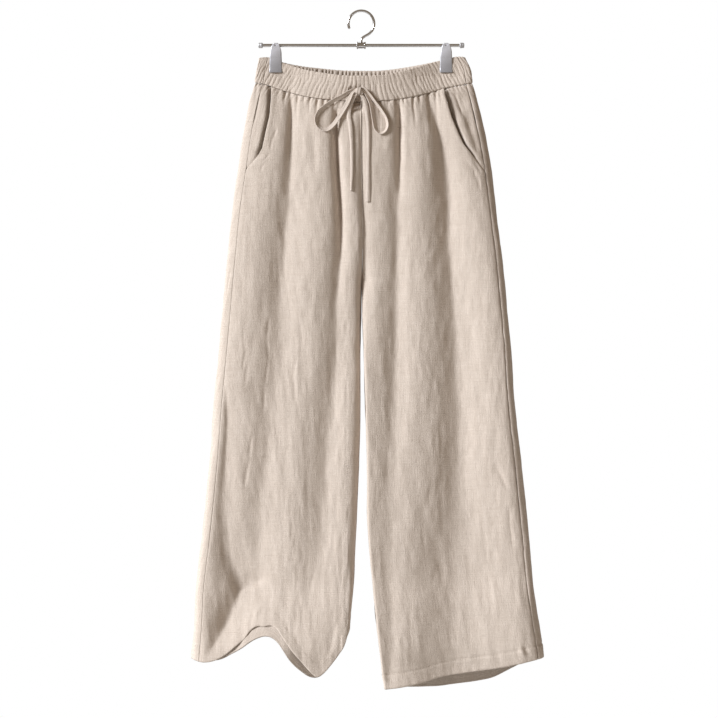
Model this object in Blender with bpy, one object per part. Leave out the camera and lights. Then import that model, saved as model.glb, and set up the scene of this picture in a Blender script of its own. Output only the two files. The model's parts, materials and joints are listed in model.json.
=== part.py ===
"""Linen drawstring trousers, hung by the waist from a hanger with two clips.

Blender units are metres and +Z is up. The origin is the point inside the hook that bears on a rail.
The front of the trousers faces -Y, so the wearer's left leg is at +X and the right leg at -X.

Every size below is in millimetres, and `place` turns it into metres. Heights on the cloth are given
as a drop: how far below the middle of the front waist seam a point lies.
"""

import math

import bmesh
import bpy
import numpy as np
from mathutils import Vector

# ---------------------------------------------------------------- driving sizes

MM = 0.001
GAP = 0.3  # between pieces that touch
SEAM_GAP = 0.4  # between the waistband and the panels, whose edges curve
CLOTH = 1.5  # a panel's wall
BAND_CLOTH = 2.4  # two layers and the elastic between them
TURN_UP = 24.0  # height of the folded hem
TURN_UP_CLOTH = 1.2
FACING_TUCK = 12.0  # how far the pocket facing runs under the front panel
PROUD = 0.5  # how far the waistband stands out from the panels

BAR_DROP = 52.0  # from the rail's bearing point down to the hanger's bar
WAIST_DROP = 140.7  # from the same point down to the middle of the front waist seam
CROTCH = 276.0  # drop of the point where the four leg seams meet
RISE_BEND = 186.0  # drop where the centre seams start to curve in under the body

CLIP_X = (-133.0, 132.0)  # right and left clip
PINCH_REACH = 25.0  # half the width of the waistband that a clip holds shut
PINCH_SHARPNESS = 10  # exponent of the way it opens beside the clip
PINCHED = GAP / 2 + BAND_CLOTH  # half the thickness of the waistband in a clip

ROUND = 3.0  # exponent of the cloth's section: higher is flatter with tighter side folds
FRONT_COLUMNS = 22
BACK_COLUMNS = 23
FACING_COLUMNS = 11
FACING_ROWS = 5  # the panels' own rows, down to just under the pocket
POCKET_GAPE = 1.6  # between the front panel and the facing behind the pocket's mouth
BAND_COLUMNS = 52
GATHER = 0.7  # the waistband's pleats, above and below its middle surface

# Shares of the way from the waist seam to the crotch, and from the crotch to the hem.
RISE_ROWS = (0.0, 0.08, 0.19, 0.33, 0.49, 0.66, 0.82, 0.94)
LEG_ROWS = (0.0, 0.08, 0.2, 0.35, 0.5, 0.65, 0.78, 0.88, 0.95, 1.0)

# drop, right outer fold, right inner edge, left inner edge, left outer fold
OUTLINE = (
    (-72.0, -158.0, -0.15, 0.15, 160.0),
    (-50.0, -162.5, -0.15, 0.15, 170.0),
    (-31.0, -165.3, -0.15, 0.15, 173.0),
    (-4.0, -173.0, -0.15, 0.15, 181.5),
    (43.0, -182.4, -0.15, 0.15, 192.5),
    (105.0, -191.8, -0.15, 0.15, 203.5),
    (167.0, -201.0, -0.15, 0.15, 211.3),
    (230.0, -207.3, -0.15, 0.15, 219.0),
    (276.0, -211.7, -0.2, 0.2, 223.7),
    (385.0, -221.3, -0.6, 0.9, 233.0),
    (463.0, -228.7, -1.2, 3.8, 238.0),
    (572.0, -236.9, -5.6, 8.6, 250.0),
    (665.0, -246.2, -8.3, 10.0, 259.5),
    (758.0, -257.0, -12.6, 18.3, 268.8),
    (821.0, -260.2, -18.5, 24.5, 278.2),
    (864.0, -263.5, -18.5, 29.5, 284.4),
    (915.0, -263.5, -18.5, 36.0, 284.4),
)

# drop, half depth of the front, half depth of the back
DEPTH = (
    (-72.0, 17.0, 16.0),
    (-31.0, 19.0, 18.0),
    (0.0, 21.0, 20.0),
    (60.0, 25.0, 25.0),
    (150.0, 28.0, 29.0),
    (276.0, 30.0, 32.0),
    (600.0, 33.0, 34.0),
    (915.0, 36.0, 36.0),
)

# drop, how far a clip still closes the cloth there
PINCH = ((-36.0, 1.0), (-18.0, 0.85), (40.0, 0.25), (100.0, 0.0))

# x, drop of the waist seam on the front, and on the back, which rises higher at the middle
WAIST_SEAM = (
    (-173.0, -32.0, -32.0),
    (-145.0, -26.5, -27.5),
    (-122.0, -18.0, -21.0),
    (-95.0, -10.0, -17.0),
    (-49.0, -2.3, -13.0),
    (0.0, 0.0, -11.5),
    (49.0, -2.0, -13.0),
    (95.0, -11.0, -17.0),
    (129.0, -21.0, -23.0),
    (173.0, -30.0, -30.0),
)

# x, drop of the waistband's top on the front, and on the back
WAIST_TOP = (
    (-162.0, -69.0, -69.0),
    (-144.0, -70.0, -70.0),
    (-122.0, -62.0, -62.5),
    (-95.0, -54.5, -57.0),
    (-33.0, -41.0, -51.5),
    (0.0, -39.7, -51.0),
    (33.0, -41.0, -51.5),
    (63.0, -48.0, -54.0),
    (102.0, -60.0, -60.5),
    (131.0, -67.0, -67.0),
    (150.0, -71.0, -71.0),
    (165.0, -70.0, -70.0),
)

# x, drop of the hem on the front, and on the back. The right leg's is lifted in an arch.
HEM = {
    "right": (
        (-264.0, 864.0, 864.0),
        (-238.0, 867.0, 867.0),
        (-221.0, 863.0, 864.0),
        (-195.0, 847.0, 856.0),
        (-178.0, 834.0, 849.0),
        (-160.0, 818.0, 839.0),
        (-150.0, 814.0, 832.0),
        (-137.0, 816.0, 832.0),
        (-120.0, 827.0, 850.0),
        (-97.0, 856.0, 877.0),
        (-80.0, 880.0, 893.0),
        (-69.0, 893.0, 898.0),
        (-56.0, 881.0, 885.0),
        (-42.0, 864.0, 867.0),
        (-28.0, 845.0, 847.0),
        (-18.5, 818.0, 818.0),
    ),
    "left": (
        (36.0, 915.0, 915.0),
        (84.0, 912.5, 915.5),
        (117.0, 905.5, 915.5),
        (141.0, 898.5, 914.5),
        (177.0, 891.5, 908.5),
        (227.0, 884.5, 900.0),
        (262.0, 875.0, 884.0),
        (284.4, 860.0, 860.0),
    ),
}

# The front panel's outer edge: the pocket mouth, then a short slant to the side seam.
POCKET_EDGE = {  # drop, x
    "right": ((-32.0, -143.0), (83.0, -158.0), (108.0, -182.0)),
    "left": ((-32.0, 128.0), (25.0, 143.0), (63.0, 158.0), (90.0, 177.0), (112.0, 196.0)),
}
SEAM_INSET = {"right": 13.0, "left": 9.0}  # side seam from the outer fold, on the front

# Valleys of the front, from waist to hem: x at each of FOLD_DROPS, depth, half width, and the
# drops between which the valley is at least half its full depth.
FOLD_DROPS = (40.0, 150.0, 310.0, 460.0, 620.0)
FOLD_FADE = 80.0  # length over which a valley deepens at its start and runs out at its end
FRONT_FOLDS = (
    ((-111.0, -126.0, -142.0, -150.0, -165.0), 8.0, 14.0, -5.0, 700.0),
    ((-38.0, -39.0, -49.0, -56.0, -78.0), 9.0, 11.0, 5.0, 660.0),
    ((52.0, 45.0, 45.0, 37.0, 34.0), 7.0, 12.0, 5.0, 540.0),
    ((110.0, 122.0, 130.0, 135.0, 130.0), 9.0, 16.0, -5.0, 790.0),
    ((-181.0, -181.0, -183.0, -205.0, -222.0), 6.0, 11.0, 300.0, 830.0),
)
BACK_FOLDS = (
    ((-120.0, -128.0, -135.0, -150.0, -160.0), 8.0, 15.0, 0.0, 720.0),
    ((-62.0, -66.0, -78.0, -84.0, -92.0), 8.0, 13.0, 10.0, 640.0),
    ((38.0, 46.0, 58.0, 66.0, 70.0), 8.0, 13.0, 5.0, 600.0),
    ((104.0, 112.0, 128.0, 146.0, 160.0), 9.0, 15.0, 0.0, 760.0),
)
# The right leg swells forward where it was lifted: middle x and drop, reach each way, height.
LIFT = (-135.0, 800.0, 62.0, 70.0, 10.0)

COLOURS = {  # red, green, blue, roughness, metallic
    "linen": (0.64, 0.56, 0.48, 0.9, 0.0),
    "drawstring": (0.68, 0.60, 0.52, 0.85, 0.0),
    "clip": (0.38, 0.38, 0.39, 0.4, 0.9),
    "wire": (0.55, 0.55, 0.56, 0.25, 1.0),
}


# ---------------------------------------------------------------- small tools


def place(points):
    """Points on the trousers, whose third number is a drop, as metres in Blender's frame."""
    points = np.array(points, float)
    points[..., 2] = -WAIST_DROP - points[..., 2]
    return points * MM


def curve_through(table, column, at):
    """A smooth curve through a table's first column and another one, level past both ends."""
    table = np.array(table, float)
    knots, values = table[:, 0], table[:, column]
    slopes = np.gradient(values, knots)
    at = np.clip(at, knots[0], knots[-1])
    i = np.clip(np.searchsorted(knots, at, side="right") - 1, 0, len(knots) - 2)
    step = knots[i + 1] - knots[i]
    t = (at - knots[i]) / step
    start = values[i] * (1 + 2 * t) + slopes[i] * step * t
    end = values[i + 1] * (3 - 2 * t) + slopes[i + 1] * step * (t - 1)
    return start * (1 - t) ** 2 + end * t**2


def line_through(table, column, at):
    """Straight runs through a table's first column and another one."""
    table = np.array(table, float)
    return np.interp(at, table[:, 0], table[:, column])


def ease(t):
    """0 to 1 with level ends."""
    t = np.clip(t, 0, 1)
    return t * t * (3 - 2 * t)


def material(name):
    made = bpy.data.materials.get(name)
    if made:
        return made
    made = bpy.data.materials.new(name)
    made.use_nodes = True
    shader = made.node_tree.nodes["Principled BSDF"]
    red, green, blue, roughness, metallic = COLOURS[name]
    shader.inputs["Base Color"].default_value = (red, green, blue, 1)
    shader.inputs["Roughness"].default_value = roughness
    shader.inputs["Metallic"].default_value = metallic
    return made


def add_object(name, data, material_name):
    made = bpy.data.objects.new(name, data)
    bpy.context.scene.collection.objects.link(made)
    data.materials.append(material(material_name))
    return made


def add_wall(name, outer, inner, material_name, ring=False, flat=False):
    """One closed body between two grids of points in metres, shaped rows by columns by 3.

    A ring's last column joins its first, so it has no end faces.
    """
    rows, columns = outer.shape[:2]
    body = bmesh.new()
    near = [[body.verts.new(p) for p in row] for row in outer]
    far = [[body.verts.new(p) for p in row] for row in inner]
    across = range(columns if ring else columns - 1)

    def join(a, b, c, d):
        body.faces.new((a, b, c))
        body.faces.new((a, c, d))

    for c in across:
        n = (c + 1) % columns
        for r in range(rows - 1):
            join(near[r][c], near[r][n], near[r + 1][n], near[r + 1][c])
            join(far[r][c], far[r + 1][c], far[r + 1][n], far[r][n])
        join(near[0][c], far[0][c], far[0][n], near[0][n])
        join(near[-1][c], near[-1][n], far[-1][n], far[-1][c])
    if not ring:
        for r in range(rows - 1):
            join(near[r][0], near[r + 1][0], far[r + 1][0], far[r][0])
            join(near[r][-1], far[r][-1], far[r + 1][-1], near[r + 1][-1])
    bmesh.ops.recalc_face_normals(body, faces=body.faces)
    data = bpy.data.meshes.new(name)
    body.to_mesh(data)
    body.free()
    if not flat:
        data.shade_smooth()
        data.set_sharp_from_angle(angle=math.radians(40))
    return add_object(name, data, material_name)


# ---------------------------------------------------------------- the cloth's form


def edges(side, drop):
    """x of a leg's inner edge and of its outer fold. Above the crotch the inner edge is the middle."""
    if side == "right":
        return curve_through(OUTLINE, 2, drop), curve_through(OUTLINE, 1, drop)
    return curve_through(OUTLINE, 3, drop), curve_through(OUTLINE, 4, drop)


def joined(drop):
    """1 where both legs are one body, falling to 0 at the crotch along the curve of the centre seams."""
    below = np.clip((drop - RISE_BEND) / (CROTCH - RISE_BEND), 0, 1)
    return np.sqrt(1 - below**2)


def folds(table, x, drop):
    """How far the valleys of a table reach inwards."""
    inward = 0.0
    for track, depth, half_width, start, end in table:
        middle = line_through(tuple(zip(FOLD_DROPS, track)), 1, drop)
        begun = ease((drop - start) / FOLD_FADE + 0.5)
        along = begun * ease((end - drop) / FOLD_FADE + 0.5)
        inward = inward + depth * along * np.exp(-(((x - middle) / half_width) ** 2))
    return inward


def pinch_at(x, drop):
    """0 for free cloth to 1 for cloth shut in a clip."""
    inside = np.zeros_like(x)
    for clip_x in CLIP_X:
        inside = inside + np.exp(-(((x - clip_x) / PINCH_REACH) ** PINCH_SHARPNESS))
    return inside * line_through(PINCH, 1, drop)


def section(side, angle, drop):
    """x and y on the outer face of the cloth, all round one side of the trousers at one drop.

    The angle is 0 at the inner edge of the front, pi at the outer fold, 2 pi at the back's inner edge.
    """
    across = (1 - np.cos(angle)) / 2
    inner, outer = edges(side, drop)
    x = inner + (outer - inner) * across
    whole = joined(drop)
    inner_round = np.sqrt(np.clip(1 - (1 - across) ** ROUND, 0, 1))
    full = np.sqrt(np.clip(1 - across**ROUND, 0, 1)) * (whole + (1 - whole) * inner_round)
    is_front = angle < np.pi
    depth = np.where(is_front, curve_through(DEPTH, 1, drop), curve_through(DEPTH, 2, drop))
    valley = np.where(is_front, folds(FRONT_FOLDS, x, drop), folds(BACK_FOLDS, x, drop))
    lift_x, lift_drop, reach_x, reach_drop, height = LIFT
    swell = np.exp(-(((x - lift_x) / reach_x) ** 2) - ((drop - lift_drop) / reach_drop) ** 2)
    half = (depth - valley + np.where(is_front, height * swell, 0)) * full
    shut = pinch_at(x, drop)
    half = half * (1 - shut) + np.minimum(PINCHED, half) * shut
    return x, np.where(is_front, -half, half)


def tangent(side, angle, drop, reach=0.1):
    """Unit direction along the section, measured over a short arc, closed round a leg below the crotch."""
    open_here = drop < CROTCH - GAP
    before = np.where(open_here, np.maximum(angle - reach, 0), angle - reach)
    after = np.where(open_here, np.minimum(angle + reach, 2 * np.pi), angle + reach)
    x0, y0 = section(side, np.mod(before, 2 * np.pi), drop)
    x1, y1 = section(side, np.where(after > 2 * np.pi, after - 2 * np.pi, after), drop)
    length = np.hypot(x1 - x0, y1 - y0)
    return (x1 - x0) / length, (y1 - y0) / length


def outward(side, angle, drop):
    """Unit normal of the section, out of the trousers."""
    along_x, along_y = tangent(side, angle, drop)
    turn = 1 if side == "left" else -1
    return along_y * turn, -along_x * turn


def angle_of(side, x, drop):
    """The section's angle at an x on the front."""
    inner, outer = edges(side, drop)
    return np.arccos(np.clip(1 - 2 * (x - inner) / (outer - inner), -1, 1))


def side_seam_angle(side, drop):
    outer = edges(side, drop)[1]
    inset = SEAM_INSET[side]
    return angle_of(side, outer - inset if side == "left" else outer + inset, drop)


def front_edge_angle(side, drop):
    """Where the front panel ends: the pocket's edge, and the side seam below it."""
    table = POCKET_EDGE[side]
    at_pocket = angle_of(side, line_through(table, 1, drop), drop)
    return np.where(drop < table[-1][0], at_pocket, side_seam_angle(side, drop))


def facing_start_angle(side, drop):
    """The pocket facing starts under the front panel."""
    tuck = -FACING_TUCK if side == "left" else FACING_TUCK
    return angle_of(side, line_through(POCKET_EDGE[side], 1, drop) + tuck, drop)


def drop_between(top, foot, share, side, angle_at):
    """Angles and drops on a row, a share of the way down from one curved edge to another.

    top and foot give the edge's drop for x and for front or back. The drop and the angle depend on
    each other, so they are found by repeating.
    """
    drop = np.zeros_like(share)
    for _ in range(12):
        angle = angle_at(drop)
        x = section(side, angle, drop)[0]
        is_front = angle < np.pi
        drop = top(x, is_front) * (1 - share) + foot(x, is_front) * share
    return angle_at(drop), drop


def edge_curve(table):
    """The drop of a curved edge, from a table of x, front drop and back drop."""

    def drop(x, is_front):
        return np.where(is_front, curve_through(table, 1, x), curve_through(table, 2, x))

    return drop


def lowered(curve, distance):
    return lambda x, is_front: curve(x, is_front) + distance


def share_of_crotch(side, back):
    """How far down from the waist seam to the hem the crotch lies, at a leg's inner edge."""
    inner = HEM[side][-1] if side == "right" else HEM[side][0]
    seam = curve_through(WAIST_SEAM, 2 if back else 1, 0.0)
    return (CROTCH - seam) / (inner[1] - seam)


def row_shares(side, back):
    crotch = share_of_crotch(side, back)
    rise = [crotch * share for share in RISE_ROWS]
    return rise + [crotch + (1 - crotch) * share for share in LEG_ROWS]


def spread(count, evenness=0.6):
    """Column places from 0 to 1, closer together near both ends, where the section turns."""
    even = np.linspace(0, 1, count + 1)
    return evenness * even + (1 - evenness) * (1 - np.cos(np.pi * even)) / 2


def grid(side, shares, count, angle_at, top, foot):
    """Angles and drops over a panel of so many columns, rows by columns."""
    rows = [drop_between(top, foot, np.full(count, share), side, angle_at) for share in shares]
    return np.array([angle for angle, _ in rows]), np.array([drop for _, drop in rows])


def skin(side, angle, drop, depth, shift=None):
    """Points on the trousers at a depth under the outer face, moved along the section by shift."""
    x, y = section(side, angle, drop)
    out_x, out_y = outward(side, angle, drop)
    points = np.stack([x - out_x * depth, y - out_y * depth, drop], -1)
    if shift is not None:
        along_x, along_y = tangent(side, angle, drop)
        points[..., 0] += along_x * shift
        points[..., 1] += along_y * shift
    return place(points)


# ---------------------------------------------------------------- the trousers


def add_panel(name, side, back):
    """One front or back: half of the body above the crotch and half of a leg below it."""
    columns = spread(BACK_COLUMNS if back else FRONT_COLUMNS)

    def angle_columns(drop):
        if back:
            start, end = side_seam_angle(side, drop), 2 * np.pi
        else:
            start, end = 0.0, front_edge_angle(side, drop)
        return start + (end - start) * columns

    top = lowered(edge_curve(WAIST_SEAM), SEAM_GAP / 2)
    shares = row_shares(side, back)
    angle, drop = grid(side, shares, len(columns), angle_columns, top, edge_curve(HEM[side]))
    shift = np.zeros_like(drop)
    closed = drop > CROTCH - GAP
    inner, seam = (-1, 0) if back else (0, -1)
    shift[:, seam] = GAP / 2 if back else -GAP / 2
    shift[:, inner] = np.where(closed[:, inner], -GAP / 2 if back else GAP / 2, 0)
    add_wall(name, skin(side, angle, drop, 0, shift), skin(side, angle, drop, CLOTH, shift), "linen")


def add_turn_up(name, side):
    """The hem's folded cloth, a ring inside the foot of a leg."""
    front, back = spread(FRONT_COLUMNS), spread(BACK_COLUMNS)[1:-1]

    def angle_columns(drop):
        seam = side_seam_angle(side, drop[: len(front)])
        rest = side_seam_angle(side, drop[len(front) :])
        return np.concatenate([seam * front, rest + (2 * np.pi - rest) * back])

    foot = lowered(edge_curve(HEM[side]), -GAP)
    top = lowered(foot, -TURN_UP)
    angle, drop = grid(side, (0, 1), len(front) + len(back), angle_columns, top, foot)
    depth = CLOTH + GAP
    near, far = (skin(side, angle, drop, d) for d in (depth, depth + TURN_UP_CLOTH))
    add_wall(name, near, far, "linen", ring=True)


def add_pocket_facing(name, side):
    """The hip piece seen outside the pocket's mouth, from under the front panel to the side seam."""
    columns = np.linspace(0, 1, FACING_COLUMNS)

    def angle_columns(drop):
        start, end = facing_start_angle(side, drop), side_seam_angle(side, drop)
        return start + (end - start) * columns

    top = lowered(edge_curve(WAIST_SEAM), SEAM_GAP / 2)
    shares = row_shares(side, False)[:FACING_ROWS]
    angle, drop = grid(side, shares, len(columns), angle_columns, top, edge_curve(HEM[side]))
    shift = np.zeros_like(drop)
    shift[:, -1] = -GAP / 2
    depth = CLOTH + POCKET_GAPE
    near, far = (skin(side, angle, drop, d, shift) for d in (depth, depth + CLOTH))
    add_wall(name, near, far, "linen")


def across_the_middle(sides):
    """The right and the left grid of the waistband as one, with a column between them at x = 0."""
    right, left = sides["right"][:, ::-1], sides["left"]
    middle = (right[:, -1:] + left[:, :1]) / 2
    middle[..., 0] = 0
    return np.concatenate([right, middle, left], 1)


def add_waistband(name, back):
    """Half of the gathered waistband, from one side seam to the other."""
    half = BAND_COLUMNS // 2
    reach = spread(half)[1:]
    levels = np.linspace(0, 1, 4)
    foot = lowered(edge_curve(WAIST_SEAM), -SEAM_GAP / 2)
    outer, inner = {}, {}
    for side in ("right", "left"):

        def angle_columns(drop, side=side):
            seam = side_seam_angle(side, drop)
            if back:
                return 2 * np.pi + (seam - 2 * np.pi) * reach
            return seam * reach

        angle, drop = grid(side, levels, half, angle_columns, edge_curve(WAIST_TOP), foot)
        shift = np.zeros_like(drop)
        shift[:, -1] = GAP / 2 if back else -GAP / 2
        shut = pinch_at(section(side, angle, drop)[0], drop)
        pleat = GATHER * np.where(np.arange(half) % 2 == 0, 1, -1) * (1 - shut)
        pleat[:, -1] = 0
        proud = PROUD * (1 - shut)
        outer[side] = skin(side, angle, drop, -proud - pleat, shift)
        inner[side] = skin(side, angle, drop, BAND_CLOTH - proud - pleat, shift)
    add_wall(name, across_the_middle(outer), across_the_middle(inner), "linen")


# ---------------------------------------------------------------- the drawstring

KNOT = (-4.0, -25.0, -16.0)  # x, y and drop of its middle
KNOT_SIZE = (13.0, 8.0, 11.0)
TAPE_TUBE = 3.0  # a tube of the flat tape's section
TUBE_POINTS = {"loop": 21, "tail": 15}

# From the knot's middle: x, distance out from it, height. A loop starts and ends at the knot.
TAPE_ROUTES = {
    "drawstring_right_loop": (
        "loop",
        (
            (-7.6, -0.5, 2.2),
            (-16.0, -1.0, -2.5),
            (-25.5, -1.2, -8.5),
            (-40.0, -1.5, -16.0),
            (-52.0, -1.2, -24.0),
            (-61.0, -0.6, -32.0),
            (-65.5, 0.0, -41.5),
            (-64.5, 0.6, -51.0),
            (-58.5, 1.1, -58.5),
            (-49.5, 1.4, -60.5),
            (-40.5, 2.0, -54.0),
            (-32.0, 2.8, -43.0),
            (-25.0, 3.3, -32.0),
            (-18.0, 3.4, -20.0),
            (-12.5, 2.6, -9.0),
            (-8.0, 1.0, -2.2),
        ),
    ),
    "drawstring_left_loop": (
        "loop",
        (
            (7.2, 0.0, 3.4),
            (16.0, -0.6, -5.5),
            (26.0, -0.2, -18.5),
            (37.0, 0.4, -33.5),
            (43.0, 0.8, -45.0),
            (44.0, 1.2, -56.0),
            (40.0, 1.6, -63.0),
            (33.0, 2.0, -65.5),
            (27.0, 1.8, -60.0),
            (23.5, 1.0, -47.0),
            (21.0, 0.2, -33.0),
            (18.0, -0.6, -19.0),
            (13.0, -0.9, -8.0),
            (8.2, -0.6, -1.6),
        ),
    ),
    "drawstring_right_tail": (
        "tail",
        (
            (-4.4, 0.0, -6.2),
            (-9.5, -0.6, -14.0),
            (-14.0, -0.6, -25.0),
            (-15.4, 0.1, -38.0),
            (-14.5, 1.0, -53.0),
            (-13.0, 2.4, -75.0),
            (-11.8, 3.9, -103.0),
            (-11.4, 4.9, -131.0),
            (-11.7, 5.6, -155.0),
        ),
    ),
    "drawstring_left_tail": (
        "tail",
        (
            (3.0, 0.2, -5.5),
            (7.5, 0.4, -12.0),
            (10.6, 0.2, -22.0),
            (11.8, 0.8, -39.0),
            (12.0, 2.0, -59.0),
            (11.4, 3.5, -87.0),
            (11.7, 4.5, -114.0),
            (12.3, 5.4, -145.0),
            (12.6, 6.1, -172.0),
        ),
    ),
}


def knot_point(x, out, height):
    """A point given from the knot's middle, in metres."""
    return Vector(place((KNOT[0] + x, KNOT[1] - out, KNOT[2] - height)))


def smooth_route(points, count):
    """Evenly spaced points on a smooth curve through a route's own points."""
    points = np.array(points, float)
    length = np.concatenate([[0], np.cumsum(np.linalg.norm(np.diff(points, axis=0), axis=1))])
    table = np.column_stack([length, points])
    fine = np.linspace(0, length[-1], 400)
    curve = np.stack([curve_through(table, k, fine) for k in (1, 2, 3)], -1)
    along = np.concatenate([[0], np.cumsum(np.linalg.norm(np.diff(curve, axis=0), axis=1))])
    even = np.linspace(0, along[-1], count)
    return np.stack([np.interp(even, along, curve[:, k]) for k in range(3)], -1)


def add_tube(name, points, radius, material_name, resolution=2):
    """A round wire or cord along points in metres, with closed ends."""
    data = bpy.data.curves.new(name, "CURVE")
    data.dimensions = "3D"
    data.bevel_depth = radius * MM
    data.bevel_resolution = resolution
    data.use_fill_caps = True
    spline = data.splines.new("POLY")
    spline.points.add(len(points) - 1)
    for point, where in zip(spline.points, points):
        point.co = (*where, 1)
    return add_object(name, data, material_name)


def add_drawstring():
    for name, (kind, route) in TAPE_ROUTES.items():
        points = [knot_point(*point) for point in smooth_route(route, TUBE_POINTS[kind])]
        add_tube(name, points, TAPE_TUBE / 2, "drawstring")
    body = bmesh.new()
    bmesh.ops.create_icosphere(body, subdivisions=2, radius=0.5)
    bmesh.ops.scale(body, vec=Vector(KNOT_SIZE) * MM, verts=body.verts)
    data = bpy.data.meshes.new("drawstring_knot")
    body.to_mesh(data)
    body.free()
    data.shade_smooth()
    knot = add_object("drawstring_knot", data, "drawstring")
    knot.location = knot_point(0, 0, 0)


# ---------------------------------------------------------------- the hanger

BAR_RADIUS = 2.5
BAR_HALF = 153.0
CAP_RADIUS = 4.2
CAP_LENGTH = 7.0
CAP_CHAMFER = 1.5
SOCKET_RADIUS = 5.5
SOCKET_LENGTH = 14.0
WIRE_RADIUS = 2.0
RAIL_RADIUS = 18.0  # inside of the hook, for rails up to 32 mm across
HOOK_START = -50.0  # degrees round the hook where the stem's bend joins it
HOOK_END = 205.0
HOOK_STEM = 2.0  # straight wire above the socket
HOOK_BEND = 5.0  # how far the stem's bend keeps each end's direction

JAW_THICKNESS = 1.2
SADDLE_INNER = BAR_RADIUS + GAP
SADDLE_OUTER = SADDLE_INNER + 1.2
SADDLE_HALF = 3.6
SADDLE_FOOT = 15.0  # how far it reaches below the bar
SPRING_RADIUS = 2.2
SPRING_DROP = 11.0
JAW_REST = PINCHED + 0.4  # inner face of a jaw where it holds the waistband

# Below the bar, inner face's distance from the middle plane, half width, of a jaw's rows.
JAW_ROWS = (
    (-1.8, SADDLE_OUTER + GAP, 6.4),
    (2.0, SADDLE_OUTER + GAP, 7.0),
    (9.0, SADDLE_OUTER + GAP, 8.7),
    (15.0, SADDLE_OUTER + GAP, 9.0),
    (22.0, JAW_REST + 0.5, 9.3),
    (26.0, JAW_REST, 9.5),
    (40.5, JAW_REST, 10.0),
    (42.6, JAW_REST + 1.0, 10.0),
)
JAW_COLUMNS = (-1.0, -0.42, -0.34, 0.34, 0.42, 1.0)
JAW_NOTCH = 1.6  # how far the middle of the jaw's top edge is cut down between its two ears


def add_lathe(name, outline, middle, material_name, sides=20):
    """A body turned about an axis along X: outline gives x and radius, down one side and back."""
    body = bmesh.new()
    turns = [2 * math.pi * k / sides for k in range(sides)]
    rings = []
    for x, radius in outline:
        around = [(x, radius * math.cos(turn), radius * math.sin(turn)) for turn in turns]
        rings.append([body.verts.new(Vector(point) * MM) for point in around])
    hollow = outline[0] == outline[-1]
    if hollow:
        rings[-1] = rings[0]
    for a, b in zip(rings, rings[1:]):
        for k in range(sides):
            n = (k + 1) % sides
            body.faces.new((a[k], a[n], b[n], b[k]))
    if hollow:
        bmesh.ops.delete(body, geom=[v for v in body.verts if not v.link_faces], context="VERTS")
    else:
        body.faces.new(rings[0])
        body.faces.new(rings[-1])
    bmesh.ops.recalc_face_normals(body, faces=body.faces)
    data = bpy.data.meshes.new(name)
    body.to_mesh(data)
    body.free()
    data.shade_smooth()
    data.set_sharp_from_angle(angle=math.radians(35))
    made = add_object(name, data, material_name)
    made.location = Vector(middle) * MM
    return made


def hook_path():
    """The wire's middle line: a straight stem, a bend out to the side, then the hook's arc."""
    radius = RAIL_RADIUS + WIRE_RADIUS
    centre = Vector((0, 0, -RAIL_RADIUS))
    start = math.radians(HOOK_START)
    foot = Vector((0, 0, -BAR_DROP + SOCKET_RADIUS + GAP))
    bend = foot + Vector((0, 0, HOOK_STEM))
    join = centre + radius * Vector((math.cos(start), 0, math.sin(start)))
    along = Vector((-math.sin(start), 0, math.cos(start)))
    handles = (bend, bend + Vector((0, 0, HOOK_BEND)), join - along * HOOK_BEND, join)
    path = [foot]
    for k in range(8):
        t = k / 8
        weights = ((1 - t) ** 3, 3 * t * (1 - t) ** 2, 3 * t * t * (1 - t), t**3)
        path.append(sum((w * h for w, h in zip(weights, handles)), Vector()))
    for k in range(25):
        turn = start + math.radians(HOOK_END - HOOK_START) * k / 24
        path.append(centre + radius * Vector((math.cos(turn), 0, math.sin(turn))))
    return [point * MM for point in path]


def add_jaw(name, clip_x, facing):
    """A tapered plate with two ears at its top. facing is -1 for the front jaw and 1 for the back."""
    inner, outer = [], []
    for drop, distance, half_width in JAW_ROWS:
        for rows, y in ((inner, distance), (outer, distance + JAW_THICKNESS)):
            row = []
            for column in JAW_COLUMNS:
                in_notch = drop == JAW_ROWS[0][0] and abs(column) < 0.4
                z = -BAR_DROP - drop - (JAW_NOTCH if in_notch else 0)
                row.append((clip_x + half_width * column, facing * y, z))
            rows.append(row)
    add_wall(name, np.array(outer) * MM, np.array(inner) * MM, "clip", flat=True)


def add_saddle(name, clip_x):
    """The strap over the bar that carries both jaws."""
    turns = np.radians(np.linspace(0, 180, 9))
    inner, outer = [], []
    for rows, radius in ((inner, SADDLE_INNER), (outer, SADDLE_OUTER)):
        path = [(radius, -SADDLE_FOOT)]
        path += [(radius * math.cos(turn), radius * math.sin(turn)) for turn in turns]
        path += [(-radius, -SADDLE_FOOT)]
        for y, z in path:
            rows.append([(clip_x + x, y, z - BAR_DROP) for x in (-SADDLE_HALF, SADDLE_HALF)])
    add_wall(name, np.array(outer) * MM, np.array(inner) * MM, "clip", flat=True)


def add_clip(name, clip_x):
    add_jaw(f"{name}_front_jaw", clip_x, -1)
    add_jaw(f"{name}_back_jaw", clip_x, 1)
    add_saddle(f"{name}_saddle", clip_x)
    spring = ((-SADDLE_HALF, SPRING_RADIUS), (SADDLE_HALF, SPRING_RADIUS))
    add_lathe(f"{name}_spring", spring, (clip_x, 0, -BAR_DROP - SPRING_DROP), "wire", sides=12)


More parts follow.
